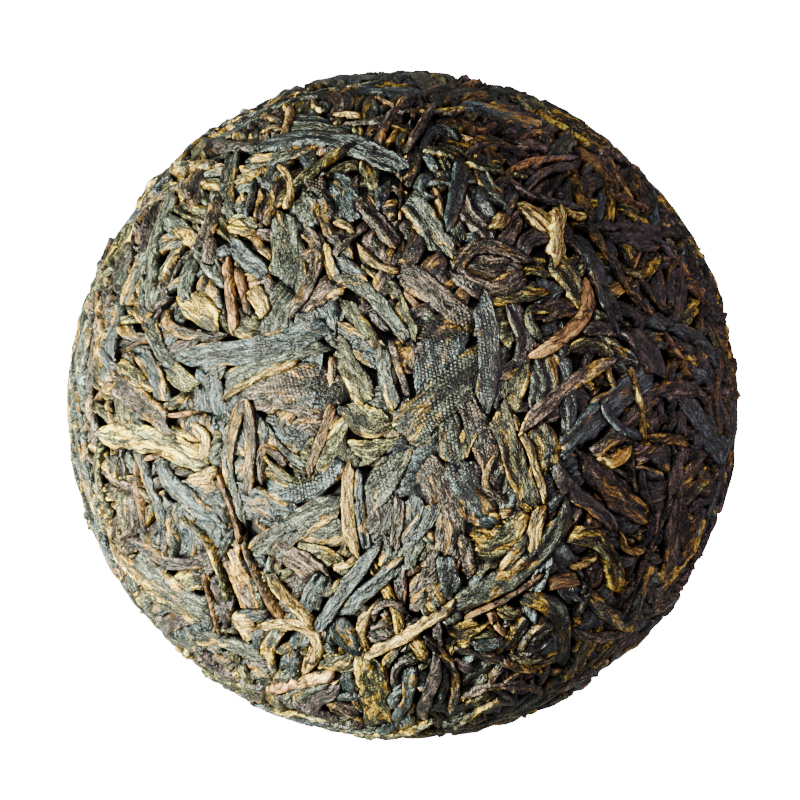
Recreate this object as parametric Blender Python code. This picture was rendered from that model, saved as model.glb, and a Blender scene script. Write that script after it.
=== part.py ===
"""A pu erh tuocha: a small cake of whole tea leaves pressed into a dome with a hollow underneath.

The cake is one solid. A plain turned core gives its form, and flat pressed leaves, each a thin
wavy strip, lie on that form all round it and are fused to the core. Units are metres and +Z is
up. The origin is in the middle of the ring that the cake rests on.
"""
import math
import random

import bmesh
import bpy
import numpy as np
from mathutils import Matrix, Vector

MM = 0.001

# The form that the leaves were pressed into
DIAMETER = 82.0 * MM
HEIGHT = 43.0 * MM
WAIST_HEIGHT = 9.0 * MM          # where the cake is widest
DOME_POWER = 2.2                 # 2 is a half ellipse, more is squarer
FOOT_OUTER_RADIUS = 36.0 * MM    # the flat ring that it rests on
FOOT_INNER_RADIUS = 30.0 * MM
MOUTH_RADIUS = 26.5 * MM         # where the rounded lip goes over into the hollow's wall
LIP_HEIGHT = 4.0 * MM
HOLLOW_DEPTH = 24.0 * MM
HOLLOW_POWER = 1.5               # 1 is a cone, 2 a bowl
PROFILE_STEPS = 60               # points along each curved stretch of the form

# The core under the leaves
CORE_DEPTH = 1.2 * MM            # how far it lies below the leaves' outer faces
CORE_SIDES = 36
CORE_STEPS = 6                   # rows of faces along each curved stretch
FOOT_ALLOWANCE = 1.0 * MM        # taken off again where the foot is cut flat

# The pressed leaves
LEAF_THICKNESS = 1.9 * MM        # most of it is sunk in the core
LEAF_SPACING = 4.2 * MM          # between two stations along a leaf
LEAF_LENGTHS = (9.0 * MM, 19.0 * MM)
LEAF_WIDTHS = (2.0 * MM, 4.2 * MM)
LEAF_BENDS = (-50.0, 50.0)       # degrees that a leaf turns over its length
LEAF_SINK = (0.1 * MM, 0.6 * MM)
CREASED_FROM = 2.8 * MM          # narrower leaves lie flat across
CREASE = 0.22 * MM               # a fold or a vein along the middle
WAVE = 0.12 * MM
END_WIDTH = 0.45                 # of the leaf's own width
SCATTERED_LEAVES = 100
TRIES_FOR_EACH_LEAF = 14         # the place farthest from the other leaves is taken
SEED = 41

TEA_COLOUR = (0.075, 0.058, 0.040, 1.0)
TEA_ROUGHNESS = 0.7

# The large leaves on top: width, then start, middle and end in plan, all in millimetres.
# +X is to the right and +Y away from someone who looks down on the cake.
LARGE_LEAVES = (
    (2.6, (-26.5, 5.5), (-17.5, 6.5), (-8.5, 9.0)),
    (4.8, (-19.0, 1.0), (-13.0, 2.0), (-6.5, 0.5)),
    (3.7, (-14.0, 22.5), (-13.5, 18.5), (-13.5, 14.0)),
    (2.0, (-8.0, 14.5), (-4.0, 13.0), (0.5, 7.5)),
    (2.6, (-7.5, 7.0), (-6.0, 4.0), (-4.0, 0.5)),
    (2.5, (-0.5, 15.5), (3.5, 13.0), (8.0, 9.5)),
    (2.4, (1.5, 8.0), (5.0, 9.0), (8.5, 9.0)),
    (4.3, (11.5, 7.0), (6.5, 2.5), (0.0, -3.5)),
    (2.4, (9.0, 12.5), (10.0, 6.5), (9.0, 0.0)),
    (1.9, (21.0, 14.5), (20.5, 10.0), (15.5, 5.5)),
    (2.2, (24.5, 5.5), (19.0, 2.0), (13.5, -3.0)),
    (3.1, (0.5, 24.0), (2.5, 21.5), (5.0, 17.5)),
    (2.2, (6.5, 29.0), (6.5, 25.0), (5.0, 20.5)),
    (2.0, (21.5, 21.5), (25.0, 15.5), (29.0, 10.5)),
    (2.4, (20.5, 20.0), (23.0, 14.5), (25.5, 8.5)),
    (2.2, (30.0, 1.0), (32.5, 2.0), (35.5, 1.5)),
    (3.0, (20.5, -6.0), (24.5, -10.0), (29.0, -13.5)),
    (2.4, (19.5, -15.0), (23.5, -16.5), (25.0, -22.0)),
    (2.5, (11.0, -0.5), (13.0, -6.5), (15.0, -12.5)),
    (3.0, (5.5, -6.5), (7.5, -9.5), (10.0, -12.5)),
    (2.7, (18.5, -11.5), (15.0, -18.0), (5.5, -23.0)),
    (2.0, (6.0, -23.0), (2.5, -25.5), (-4.5, -29.5)),
    (2.2, (14.0, -22.5), (18.5, -25.0), (19.0, -31.5)),
    (1.9, (2.5, -27.0), (6.0, -31.5), (5.5, -36.5)),
    (2.0, (-2.5, -16.0), (-6.0, -20.5), (-10.0, -26.5)),
    (2.0, (-15.5, -19.5), (-13.5, -22.5), (-10.5, -26.0)),
    (3.1, (-4.0, -29.0), (-3.5, -33.5), (-3.0, -38.5)),
    (3.0, (-36.5, -4.0), (-30.5, -4.0), (-22.5, -7.0)),
    (2.6, (-28.5, -6.5), (-26.0, -10.5), (-20.5, -14.0)),
    (4.0, (-32.0, -18.5), (-26.5, -22.5), (-21.5, -25.5)),
    (2.4, (-24.5, -28.0), (-20.5, -28.5), (-16.5, -29.5)),
    (2.4, (-39.0, 14.0), (-39.5, 4.0), (-37.0, -11.5)),
    (2.5, (-31.0, 6.0), (-29.0, 3.5), (-28.0, 0.5)),
    (3.2, (-25.5, 12.5), (-23.5, 11.0), (-21.5, 9.0)),
    (2.6, (-17.0, 30.0), (-9.0, 31.5), (0.0, 27.5)),
    (3.2, (-8.0, 26.5), (-6.5, 23.5), (-6.0, 20.5)),
    (2.0, (-18.0, 0.5), (-17.5, -4.0), (-18.0, -10.5)),
    (2.4, (-15.5, -9.5), (-11.0, -10.0), (-7.0, -6.5)),
    (3.2, (-16.5, -17.5), (-11.5, -13.5), (-6.5, -11.5)),
    (2.2, (-6.0, -6.5), (-6.0, -12.0), (-5.0, -17.5)),
    (3.0, (-4.5, -12.0), (-2.0, -8.5), (-0.5, -5.5)),
)


def clear_scene():
    """Start from an empty scene."""
    for old_object in list(bpy.data.objects):
        bpy.data.objects.remove(old_object, do_unlink=True)


def form_profile(depth, steps, foot_level):
    """Half of the cake's section, from the top of the dome round to the top of the hollow.

    Each row is a radius and a height. The form is drawn `depth` inside the pressed surface, with
    its flat foot at `foot_level`.
    """
    radius = DIAMETER / 2 - depth
    dome = HEIGHT - WAIST_HEIGHT - depth
    foot_outer = FOOT_OUTER_RADIUS - depth / 2
    foot_inner = FOOT_INNER_RADIUS + depth / 2
    mouth = MOUTH_RADIUS + depth
    hollow = HOLLOW_DEPTH - LIP_HEIGHT + depth
    quarter = np.linspace(0.0, math.pi / 2, steps + 1)
    power = 2 / DOME_POWER
    rows = []
    for angle in quarter:
        rows.append((radius * math.sin(angle) ** power, WAIST_HEIGHT + dome * math.cos(angle) ** power))
    for angle in quarter[1:]:
        rows.append((
            foot_outer + (radius - foot_outer) * math.cos(angle),
            foot_level + (WAIST_HEIGHT - foot_level) * (1 - math.sin(angle)),
        ))
    for angle in quarter[:-1]:
        rows.append((
            foot_inner - (foot_inner - mouth) * math.sin(angle),
            foot_level + (LIP_HEIGHT - foot_level) * (1 - math.cos(angle)),
        ))
    for share in np.linspace(1.0, 0.0, steps + 1):
        rows.append((mouth * share, LIP_HEIGHT + hollow * (1 - share**HOLLOW_POWER)))
    return np.array(rows)


class PressedForm:
    """The surface that the leaves were pressed to, as a turned profile that points can be laid on."""

    def __init__(self):
        self.profile = form_profile(0.0, PROFILE_STEPS, 0.0)
        run = np.gradient(self.profile, axis=0)
        run /= np.linalg.norm(run, axis=1)[:, None]
        self.normals = np.column_stack((-run[:, 1], run[:, 0]))
        steps = np.linalg.norm(np.diff(self.profile, axis=0), axis=1)
        rings = (self.profile[1:, 0] + self.profile[:-1, 0]) / 2
        self.area_up_to = np.concatenate(([0.0], np.cumsum(steps * rings)))

    def lay(self, point):
        """The nearest place on the form and the way out of the cake there."""
        radius = math.hypot(point.x, point.y)
        away = np.hypot(self.profile[:, 0] - radius, self.profile[:, 1] - point.z)
        row = int(np.argmin(away))
        turn = Matrix.Rotation(math.atan2(point.y, point.x), 3, "Z")
        place = turn @ Vector((self.profile[row, 0], 0.0, self.profile[row, 1]))
        out = turn @ Vector((self.normals[row, 0], 0.0, self.normals[row, 1]))
        return place, out

    def dome_place(self, x, y):
        """The place on the dome that is seen at x, y from straight above."""
        share = min(math.hypot(x, y) / (DIAMETER / 2), 1.0)
        rise = (1 - share**DOME_POWER) ** (1 / DOME_POWER)
        return Vector((x, y, WAIST_HEIGHT + (HEIGHT - WAIST_HEIGHT) * rise))

    def draw_place(self, dice):
        """A place that is as likely on every bit of the form's surface."""
        row = int(np.searchsorted(self.area_up_to, dice.random() * self.area_up_to[-1]))
        turn = Matrix.Rotation(dice.uniform(0, 2 * math.pi), 3, "Z")
        return turn @ Vector((self.profile[row, 0], 0.0, self.profile[row, 1]))


def spine_through(form, start, middle, end):
    """A leaf's middle line on the dome, through three places given in plan."""
    ends = [form.dome_place(x * MM, y * MM) for x, y in (start, middle, end)]
    length = (ends[1] - ends[0]).length + (ends[2] - ends[1]).length
    count = max(3, round(length / LEAF_SPACING))
    spine = []
    for step in range(count + 1):
        share = step / count
        near, halfway, far = 2 * (share - 0.5) * (share - 1), 4 * share * (1 - share), 2 * share * (share - 0.5)
        blend = ends[0] * near + ends[1] * halfway + ends[2] * far
        spine.append(form.lay(blend))
    return spine


def spine_from(form, place, heading, length, bend):
    """A leaf's middle line that sets out over the form at a heading and keeps turning evenly."""
    count = max(3, round(length / LEAF_SPACING))
    stride = length / count
    turn = math.radians(bend) / count
    point, out = form.lay(place)
    ahead = out.orthogonal().normalized()
    ahead.rotate(Matrix.Rotation(heading, 3, out))
    spine = [(point, out)]
    for _ in range(count):
        point, out = form.lay(point + ahead * stride)
        ahead = (ahead - out * ahead.dot(out)).normalized()
        ahead.rotate(Matrix.Rotation(turn, 3, out))
        spine.append((point, out))
    return spine


def add_quad(mesh, quad, other_diagonal):
    """Two triangles over four corners, split along either diagonal."""
    first, second, third, fourth = quad
    if other_diagonal:
        first, second, third, fourth = second, third, fourth, first
    mesh.faces.new((first, second, third))
    mesh.faces.new((third, fourth, first))


def make_leaf(name, spine, width, sink, dice):
    """A thin wavy strip along a spine, as a closed mesh whose two faces are split alike.

    A wide leaf is also creased along its middle.
    """
    sides = (-1, 0, 1) if width > CREASED_FROM else (-1, 1)
    crease = dice.uniform(-CREASE, CREASE)
    phase = dice.uniform(0, 2 * math.pi)
    mesh = bmesh.new()
    sections = []
    last = len(spine) - 1
    for step, (point, out) in enumerate(spine):
        run = spine[min(step + 1, last)][0] - spine[max(step - 1, 0)][0]
        across = out.cross(run).normalized()
        from_middle = abs(2 * step / last - 1)
        half = width / 2 * (1 - (1 - END_WIDTH) * from_middle**3)
        level = WAVE * math.sin(phase + 2 * step) - sink
        section = []
        for face in (0.0, -LEAF_THICKNESS):
            for side in sides:
                lift = level + face + (crease if side == 0 else 0.0)
                section.append(mesh.verts.new(point + across * (side * half) + out * lift))
        sections.append(section)
    count = len(sides)
    around = list(range(count)) + list(range(2 * count - 1, count - 1, -1))
    for here, there in zip(sections, sections[1:]):
        for corner, following in zip(around, around[1:] + around[:1]):
            quad = (here[corner], here[following], there[following], there[corner])
            add_quad(mesh, quad, other_diagonal=min(corner, following) >= count)
    mesh.faces.new([sections[0][corner] for corner in reversed(around)])
    mesh.faces.new([sections[-1][corner] for corner in around])
    bmesh.ops.recalc_face_normals(mesh, faces=mesh.faces)
    data = bpy.data.meshes.new(name)
    mesh.to_mesh(data)
    mesh.free()
    return bpy.data.objects.new(name, data)


def make_core():
    """The turned body under the leaves, a little longer at the foot than it will be."""
    mesh = bmesh.new()
    rows = form_profile(CORE_DEPTH, CORE_STEPS, -FOOT_ALLOWANCE)
    line = [mesh.verts.new((radius, 0.0, height)) for radius, height in rows]
    edges = [mesh.edges.new(pair) for pair in zip(line, line[1:])]
    bmesh.ops.spin(
        mesh,
        geom=line + edges,
        cent=(0, 0, 0),
        axis=(0, 0, 1),
        angle=2 * math.pi,
        steps=CORE_SIDES,
        use_duplicate=False,
    )
    bmesh.ops.remove_doubles(mesh, verts=mesh.verts, dist=0.01 * MM)
    bmesh.ops.recalc_face_normals(mesh, faces=mesh.faces)
    data = bpy.data.meshes.new("tea_cake")
    mesh.to_mesh(data)
    mesh.free()
    core = bpy.data.objects.new("tea_cake", data)
    bpy.context.collection.objects.link(core)
    return core


def lay_leaves(form):
    """All pressed leaves, as objects in one collection: the large ones, then the scattered ones."""
    dice = random.Random(SEED)
    leaves = bpy.data.collections.new("leaves")
    bpy.context.scene.collection.children.link(leaves)
    middles = []
    for number, (width, *places) in enumerate(LARGE_LEAVES):
        spine = spine_through(form, *places)
        middles.append(spine[len(spine) // 2][0])
        leaves.objects.link(make_leaf(f"large_{number}", spine, width * MM, 0.0, dice))
    for number in range(SCATTERED_LEAVES):
        places = [form.draw_place(dice) for _ in range(TRIES_FOR_EACH_LEAF)]
        place = max(places, key=lambda spot: min((spot - middle).length for middle in middles))
        spine = spine_from(
            form, place, dice.uniform(0, 2 * math.pi), dice.uniform(*LEAF_LENGTHS), dice.uniform(*LEAF_BENDS)
        )
        middles.append(spine[len(spine) // 2][0])
        width = dice.uniform(*LEAF_WIDTHS)
        leaves.objects.link(make_leaf(f"scattered_{number}", spine, width, dice.uniform(*LEAF_SINK), dice))
    return leaves


def apply_modifiers(solid):
    """Keep the mesh that the modifiers give."""
    evaluated = solid.evaluated_get(bpy.context.evaluated_depsgraph_get())
    solid.data = bpy.data.meshes.new_from_object(evaluated)
    solid.modifiers.clear()


def fuse(core, leaves):
    """Join the leaves to the core as one body, and take the loose leaves away."""
    union = core.modifiers.new("leaves", "BOOLEAN")
    union.operation = "UNION"
    union.operand_type = "COLLECTION"
    union.collection = leaves
    union.solver = "EXACT"
    apply_modifiers(core)
    for leaf in list(leaves.objects):
        bpy.data.objects.remove(leaf, do_unlink=True)
    bpy.data.collections.remove(leaves)


def cut_foot(cake):
    """Cut the foot flat at the floor, as it was against the press."""
    bpy.ops.mesh.primitive_cube_add(size=1.0)
    block = bpy.context.object
    block.scale = (2 * DIAMETER, 2 * DIAMETER, HEIGHT)
    block.location = (0, 0, -HEIGHT / 2)
    cut = cake.modifiers.new("foot", "BOOLEAN")
    cut.operation = "DIFFERENCE"
    cut.object = block
    cut.solver = "EXACT"
    bpy.context.view_layer.update()
    apply_modifiers(cake)
    bpy.data.objects.remove(block, do_unlink=True)


def keep_largest_body(cake):
    """Drop scraps that the cut has left beside the cake."""
    mesh = bmesh.new()
    mesh.from_mesh(cake.data)
    unseen = set(mesh.verts)
    bodies = []
    while unseen:
        body = {unseen.pop()}
        front = list(body)
        while front:
            corner = front.pop()
            for edge in corner.link_edges:
                other = edge.other_vert(corner)
                if other in unseen:
                    unseen.remove(other)
                    body.add(other)
                    front.append(other)
        bodies.append(body)
    bodies.sort(key=len)
    scraps = [corner for body in bodies[:-1] for corner in body]
    bmesh.ops.delete(mesh, geom=scraps, context="VERTS")
    mesh.to_mesh(cake.data)
    mesh.free()


def centre_on_origin(cake):
    """Shift the cake so that the middle of its extent in X and Y is the origin."""
    corners = np.array([corner.co[:] for corner in cake.data.vertices])
    middle = (corners.min(axis=0) + corners.max(axis=0)) / 2
    cake.data.transform(Matrix.Translation((-middle[0], -middle[1], 0.0)))


def tea_material():
    """Dark brown pressed leaves, matt with a faint sheen."""
    material = bpy.data.materials.new("pressed_tea")
    material.use_nodes = True
    shader = material.node_tree.nodes["Principled BSDF"]
    shader.inputs["Base Color"].default_value = TEA_COLOUR
    shader.inputs["Roughness"].default_value = TEA_ROUGHNESS
    shader.inputs["Metallic"].default_value = 0.0
    return material


clear_scene()
cake = make_core()
fuse(cake, lay_leaves(PressedForm()))
cut_foot(cake)
keep_largest_body(cake)
centre_on_origin(cake)
cake.data.materials.clear()
cake.data.materials.append(tea_material())
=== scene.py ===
# %% [markdown]
# # A pu erh tuocha
#
# A tuocha is a small cake of tea: whole dried leaves, steamed soft and pressed in a cloth bag
# into a dome with a hollow underneath. This lesson starts from a finished model of the cake's
# form, the frame, and covers it with more than a thousand leaves that lie on and under each
# other as the pressed ones do.

# %% Load the frame
import math

import bpy
import numpy as np
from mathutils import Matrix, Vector


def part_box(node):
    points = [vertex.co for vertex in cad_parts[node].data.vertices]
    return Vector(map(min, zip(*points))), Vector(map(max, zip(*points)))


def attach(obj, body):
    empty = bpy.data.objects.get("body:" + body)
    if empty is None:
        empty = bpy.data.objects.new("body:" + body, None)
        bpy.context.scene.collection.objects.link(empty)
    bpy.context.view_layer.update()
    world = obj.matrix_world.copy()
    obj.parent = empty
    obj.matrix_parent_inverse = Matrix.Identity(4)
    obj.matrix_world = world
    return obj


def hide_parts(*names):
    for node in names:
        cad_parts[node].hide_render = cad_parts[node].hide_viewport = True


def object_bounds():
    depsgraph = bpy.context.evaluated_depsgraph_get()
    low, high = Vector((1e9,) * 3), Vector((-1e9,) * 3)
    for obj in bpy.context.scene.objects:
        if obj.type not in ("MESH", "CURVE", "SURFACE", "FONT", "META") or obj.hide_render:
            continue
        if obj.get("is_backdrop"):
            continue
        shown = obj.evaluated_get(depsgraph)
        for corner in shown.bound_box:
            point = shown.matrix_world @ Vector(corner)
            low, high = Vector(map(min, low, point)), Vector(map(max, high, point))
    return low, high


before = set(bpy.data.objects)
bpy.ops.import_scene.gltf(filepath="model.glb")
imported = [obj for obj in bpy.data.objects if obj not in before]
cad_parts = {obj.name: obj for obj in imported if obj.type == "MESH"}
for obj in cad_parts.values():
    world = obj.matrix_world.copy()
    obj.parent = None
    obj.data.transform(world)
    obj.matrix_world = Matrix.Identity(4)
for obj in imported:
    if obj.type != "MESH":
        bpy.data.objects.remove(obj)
frame_box = [[float(value) for value in corner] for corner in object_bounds()]
MM = 0.001
cake_low, cake_high = (np.array(corner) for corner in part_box("tea_cake"))
print("cake", np.round((cake_high - cake_low) / MM, 1), "mm")

# %% [markdown]
# ## The pressed form
#
# Every leaf was flattened against the inside of the bag and the mould, so all of them end at one
# smooth surface. That surface is turned: a section line from the top of the dome, round the foot
# and up into the hollow, swept about Z. Leaves are never modelled flat and bent afterwards. They
# are laid on this section from the start, which keeps them lying true on any side of the cake.

# %% Draw the section
RADIUS = (cake_high[0] - cake_low[0]) / 2
HEIGHT = cake_high[2] - cake_low[2]
WAIST_HEIGHT = 9.0 * MM
DOME_POWER = 2.2
FOOT_OUTER_RADIUS = 36.0 * MM
FOOT_INNER_RADIUS = 30.0 * MM
MOUTH_RADIUS = 26.5 * MM
LIP_HEIGHT = 4.0 * MM
HOLLOW_DEPTH = 24.0 * MM
HOLLOW_POWER = 1.5
SECTION_STEP = 0.2 * MM
ARC_POINTS = 240


def draw_section():
    """Distance along the section, and the radius and height there, at even steps."""
    quarter = np.linspace(0.0, math.pi / 2, ARC_POINTS)
    share = np.linspace(1.0, 0.0, ARC_POINTS)
    power = 2 / DOME_POWER
    dome = np.column_stack((
        RADIUS * np.sin(quarter) ** power,
        WAIST_HEIGHT + (HEIGHT - WAIST_HEIGHT) * np.abs(np.cos(quarter)) ** power,
    ))
    foot = np.column_stack((
        FOOT_OUTER_RADIUS + (RADIUS - FOOT_OUTER_RADIUS) * np.cos(quarter),
        WAIST_HEIGHT * (1 - np.sin(quarter)),
    ))
    lip = np.column_stack((
        FOOT_INNER_RADIUS - (FOOT_INNER_RADIUS - MOUTH_RADIUS) * np.sin(quarter),
        LIP_HEIGHT * (1 - np.cos(quarter)),
    ))
    hollow = np.column_stack((
        MOUTH_RADIUS * share,
        LIP_HEIGHT + (HOLLOW_DEPTH - LIP_HEIGHT) * (1 - share**HOLLOW_POWER),
    ))
    rows = np.vstack((dome, foot[1:], lip, hollow[1:]))
    run = np.concatenate(([0.0], np.cumsum(np.hypot(*np.diff(rows, axis=0).T))))
    even = np.arange(0.0, run[-1], SECTION_STEP)
    return even, np.interp(even, run, rows[:, 0]), np.interp(even, run, rows[:, 1])


RUN, RING, LEVEL = draw_section()
AHEAD_RING, AHEAD_LEVEL = np.gradient(RING, SECTION_STEP), np.gradient(LEVEL, SECTION_STEP)
print("section", round(RUN[-1] / MM, 1), "mm from the top of the dome to the top of the hollow")

# %% [markdown]
# A leaf is laid by asking, for each of its points, which place on the section is nearest. Asking
# a search tree a million times from Python is slow, so the nearest rows are worked out once on a
# coarse table of radius and height, and each answer is then slid along the section to fit.

# %% Lay points on the form
TABLE_STEP = 0.25 * MM
TABLE_FLOOR = -3.0 * MM
TABLE_MARGIN = 4.0 * MM
table_ring = np.arange(0.0, RADIUS + TABLE_MARGIN, TABLE_STEP)
table_level = np.arange(TABLE_FLOOR, HEIGHT + TABLE_MARGIN, TABLE_STEP)
NEAREST = np.array([
    np.argmin((RING[None, :] - ring) ** 2 + (LEVEL[None, :] - table_level[:, None]) ** 2, axis=1)
    for ring in table_ring
])


def lay(points):
    """Where the points come to lie: distance along the section, angle, place and way out."""
    ring = np.hypot(points[..., 0], points[..., 1])
    angle = np.arctan2(points[..., 1], points[..., 0])
    column = np.clip((ring / TABLE_STEP).astype(int), 0, len(table_ring) - 1)
    row = np.clip(((points[..., 2] - TABLE_FLOOR) / TABLE_STEP).astype(int), 0, len(table_level) - 1)
    near = NEAREST[column, row]
    slide = (ring - RING[near]) * AHEAD_RING[near] + (points[..., 2] - LEVEL[near]) * AHEAD_LEVEL[near]
    run = np.clip(RUN[near] + slide, 0.0, RUN[-1])
    on_ring, on_level = np.interp(run, RUN, RING), np.interp(run, RUN, LEVEL)
    out_ring, out_level = -np.interp(run, RUN, AHEAD_LEVEL), np.interp(run, RUN, AHEAD_RING)
    spread = np.stack((np.cos(angle), np.sin(angle)), axis=-1)
    place = np.concatenate((spread * on_ring[..., None], on_level[..., None]), axis=-1)
    out = np.concatenate((spread * out_ring[..., None], out_level[..., None]), axis=-1)
    return run, angle, place, out / np.linalg.norm(out, axis=-1, keepdims=True)


def on_dome(plan):
    """The places on the dome that are seen at these plan places from straight above."""
    share = np.minimum(np.hypot(plan[:, 0], plan[:, 1]) / RADIUS, 1.0)
    rise = (1 - share**DOME_POWER) ** (1 / DOME_POWER)
    return np.column_stack((plan, WAIST_HEIGHT + (HEIGHT - WAIST_HEIGHT) * rise))


print("table of", NEAREST.size, "nearest rows")

# %% [markdown]
# ## The middle lines of the leaves
#
# A leaf starts as its middle line. The leaves that catch the eye are placed one by one, because
# no rule would put them there. Each row gives the kind of leaf, its width in mm and its level, 0
# being the uppermost. Then come three places in mm, from one end to the other, in plan: +X is to
# the right and +Y away from someone who looks down on the dome. The next number is the tone,
# higher for a paler leaf. Where there is one more, it says how likely each end is to be torn off
# straight, instead of being drawn out thin.
#
# The middle of the dome comes first, roughly from left to right. Among its leaves are a long
# blue-grey one, the broad one with the clearest print of the cloth, which is torn off straight
# at both ends, and a reddish curved stalk.

# %% Place leaves in the middle
MIDDLE = (
    ("slate", 3.0, 0, (-26.5, 5.5), (-17.5, 6.5), (-8.5, 9.0), 0.35),
    ("grey", 2.3, 2, (-20.5, 2.5), (-15.5, 5.0), (-9.0, 7.0), 0.35),
    ("gold", 1.0, 1, (-21.0, 0.5), (-17.0, 3.0), (-12.0, 5.0), 0.75),
    ("brown", 5.5, 4, (-19.0, 1.0), (-13.0, 2.0), (-6.5, 0.5), 0.55),
    ("grey", 1.7, 0, (-8.0, 14.5), (-4.0, 13.0), (0.5, 7.5), 0.7),
    ("grey", 1.6, 1, (-9.0, 19.0), (-8.5, 16.5), (-7.5, 14.5), 0.55),
    ("slate", 1.8, 2, (-8.0, 17.0), (-6.0, 15.5), (-4.0, 14.0), 0.4),
    ("gold", 1.0, 1, (-5.0, 18.5), (-3.5, 16.5), (-0.5, 15.5), 0.5),
    ("olive", 1.7, 2, (-6.5, 12.0), (-5.0, 9.5), (-3.5, 7.5), 0.7),
    ("slate", 1.3, 2, (-7.5, 12.0), (-8.0, 10.0), (-8.5, 7.5), 0.45),
    ("olive", 3.0, 1, (-7.5, 7.0), (-6.0, 4.0), (-4.0, 0.5), 0.7),
    ("stem", 1.1, 0, (-8.0, 5.5), (-8.0, 4.0), (-8.5, 2.5), 0.45),
    ("grey", 1.8, 3, (-2.0, 6.5), (-2.0, 3.5), (-1.0, -0.5), 0.4),
    ("brown", 0.9, 1, (-1.5, 7.5), (-0.5, 4.5), (0.5, 1.0), 0.5),
    ("brown", 2.1, 1, (6.0, 15.5), (9.5, 18.5), (14.5, 16.5), 0.45),
    ("brown", 2.4, 2, (5.5, 16.5), (9.0, 13.5), (14.0, 15.0), 0.45),
    ("brown", 3.6, 3, (7.0, 16.8), (10.0, 16.0), (14.0, 16.2), 0.45, 1.0),
    ("brown", 2.9, 1, (-0.5, 15.5), (3.5, 13.0), (8.0, 9.5), 0.55),
    ("brown", 2.8, 2, (1.5, 8.0), (5.0, 9.0), (8.5, 9.0), 0.4),
    ("slate", 2.6, 0, (9.0, 12.5), (10.0, 6.5), (9.0, 0.0), -0.65, 1.0),
    ("grey", 4.9, 1, (11.5, 7.0), (6.5, 2.5), (0.0, -3.5), 0.05, 1.0),
    ("olive", 1.8, 0, (-0.5, 12.0), (0.5, 9.5), (1.5, 7.5), 0.75),
    ("olive", 1.3, 0, (16.0, 7.5), (14.5, 10.5), (17.0, 11.0), 0.4),
    ("stem", 1.9, 0, (21.2, 14.6), (20.8, 10.0), (14.7, 5.4), 1.5, 0.0),
    ("olive", 2.6, 2, (9.0, 12.5), (13.0, 13.0), (16.5, 13.5), 0.5),
    ("brown", 1.9, 0, (24.5, 5.5), (19.0, 2.0), (13.5, -3.0), 1.6, 0.0),
    ("olive", 2.5, 2, (14.0, 4.5), (13.0, 2.0), (12.5, -1.0), 0.4),
    ("olive", 3.4, 1, (-6.5, 0.0), (-4.0, -2.0), (-1.0, -1.5), 0.85),
)
print(len(MIDDLE), "leaves")

# %% [markdown]
# Towards the upper left short brown stalks lie between broader leaves. Near the rim a long dark
# blue-grey leaf lies across.

# %% Place leaves at the upper left
UPPER_LEFT = (
    ("slate", 2.3, 0, (-20.0, 19.0), (-18.5, 17.5), (-16.0, 15.0), 0.35),
    ("olive", 2.8, 1, (-20.5, 21.5), (-19.0, 21.0), (-17.0, 20.5), 1.0),
    ("brown", 1.7, 1, (-22.0, 24.5), (-22.5, 21.5), (-24.5, 18.0), 0.45),
    ("grey", 4.3, 2, (-14.0, 22.5), (-13.5, 18.5), (-13.5, 14.0), 0.45),
    ("brown", 1.7, 1, (-11.5, 20.5), (-10.0, 16.5), (-13.0, 10.5), 0.5),
    ("gold", 2.1, 0, (-17.5, 13.5), (-16.5, 12.0), (-16.0, 10.5), 1.0),
    ("stem", 1.3, 0, (-20.5, 17.0), (-20.0, 12.5), (-19.5, 8.5), 0.85),
    ("stem", 1.3, 1, (-19.5, 16.0), (-18.5, 13.0), (-18.0, 10.5), 0.5),
    ("brown", 1.4, 0, (-27.5, 11.0), (-26.0, 8.5), (-20.5, 8.0), 0.3),
    ("brown", 1.0, 0, (-27.0, 12.5), (-29.0, 11.5), (-30.5, 9.5), 0.55),
    ("olive", 3.6, 3, (-25.5, 12.5), (-23.5, 11.0), (-21.5, 9.0), 0.75),
    ("brown", 1.7, 3, (-23.0, 20.0), (-22.5, 18.0), (-23.0, 16.5), 0.5),
    ("slate", 3.0, 0, (-17.0, 30.0), (-9.0, 31.5), (0.0, 27.5), 0.25),
    ("gold", 1.0, 0, (-14.5, 28.0), (-13.0, 25.5), (-13.5, 23.0), 0.85),
    ("slate", 0.9, 0, (-17.5, 26.5), (-18.0, 24.0), (-18.5, 22.0), 0.3),
    ("brown", 2.0, 2, (-16.5, 25.5), (-16.5, 23.5), (-16.5, 21.5), 0.2),
    ("brown", 1.1, 0, (-14.5, 26.0), (-15.0, 23.5), (-16.0, 21.0), 0.35),
    ("grey", 4.0, 2, (-12.0, 24.5), (-11.5, 22.5), (-11.0, 20.5), 0.35),
    ("slate", 3.7, 2, (-8.0, 26.5), (-6.5, 23.5), (-6.0, 20.5), 0.35),
    ("brown", 2.4, 1, (-5.0, 24.5), (-3.0, 21.5), (-0.5, 18.5), 0.4),
    ("slate", 1.8, 2, (-1.5, 26.0), (-2.5, 24.5), (-3.5, 22.0), 0.2),
    ("gold", 0.8, 1, (-8.0, 21.0), (-7.0, 21.0), (-5.5, 20.0), 0.7),
    ("gold", 0.8, 1, (-8.0, 34.5), (-6.5, 34.5), (-5.0, 34.5), 0.6),
    ("stem", 1.4, 2, (-13.5, 35.5), (-13.5, 34.0), (-14.0, 32.0), 0.3),
)
print(len(UPPER_LEFT), "leaves")

# %% [markdown]
# At the upper right a pale forked bud catches the light. Beyond it thin dark leaves lie in a
# loop.

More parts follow.
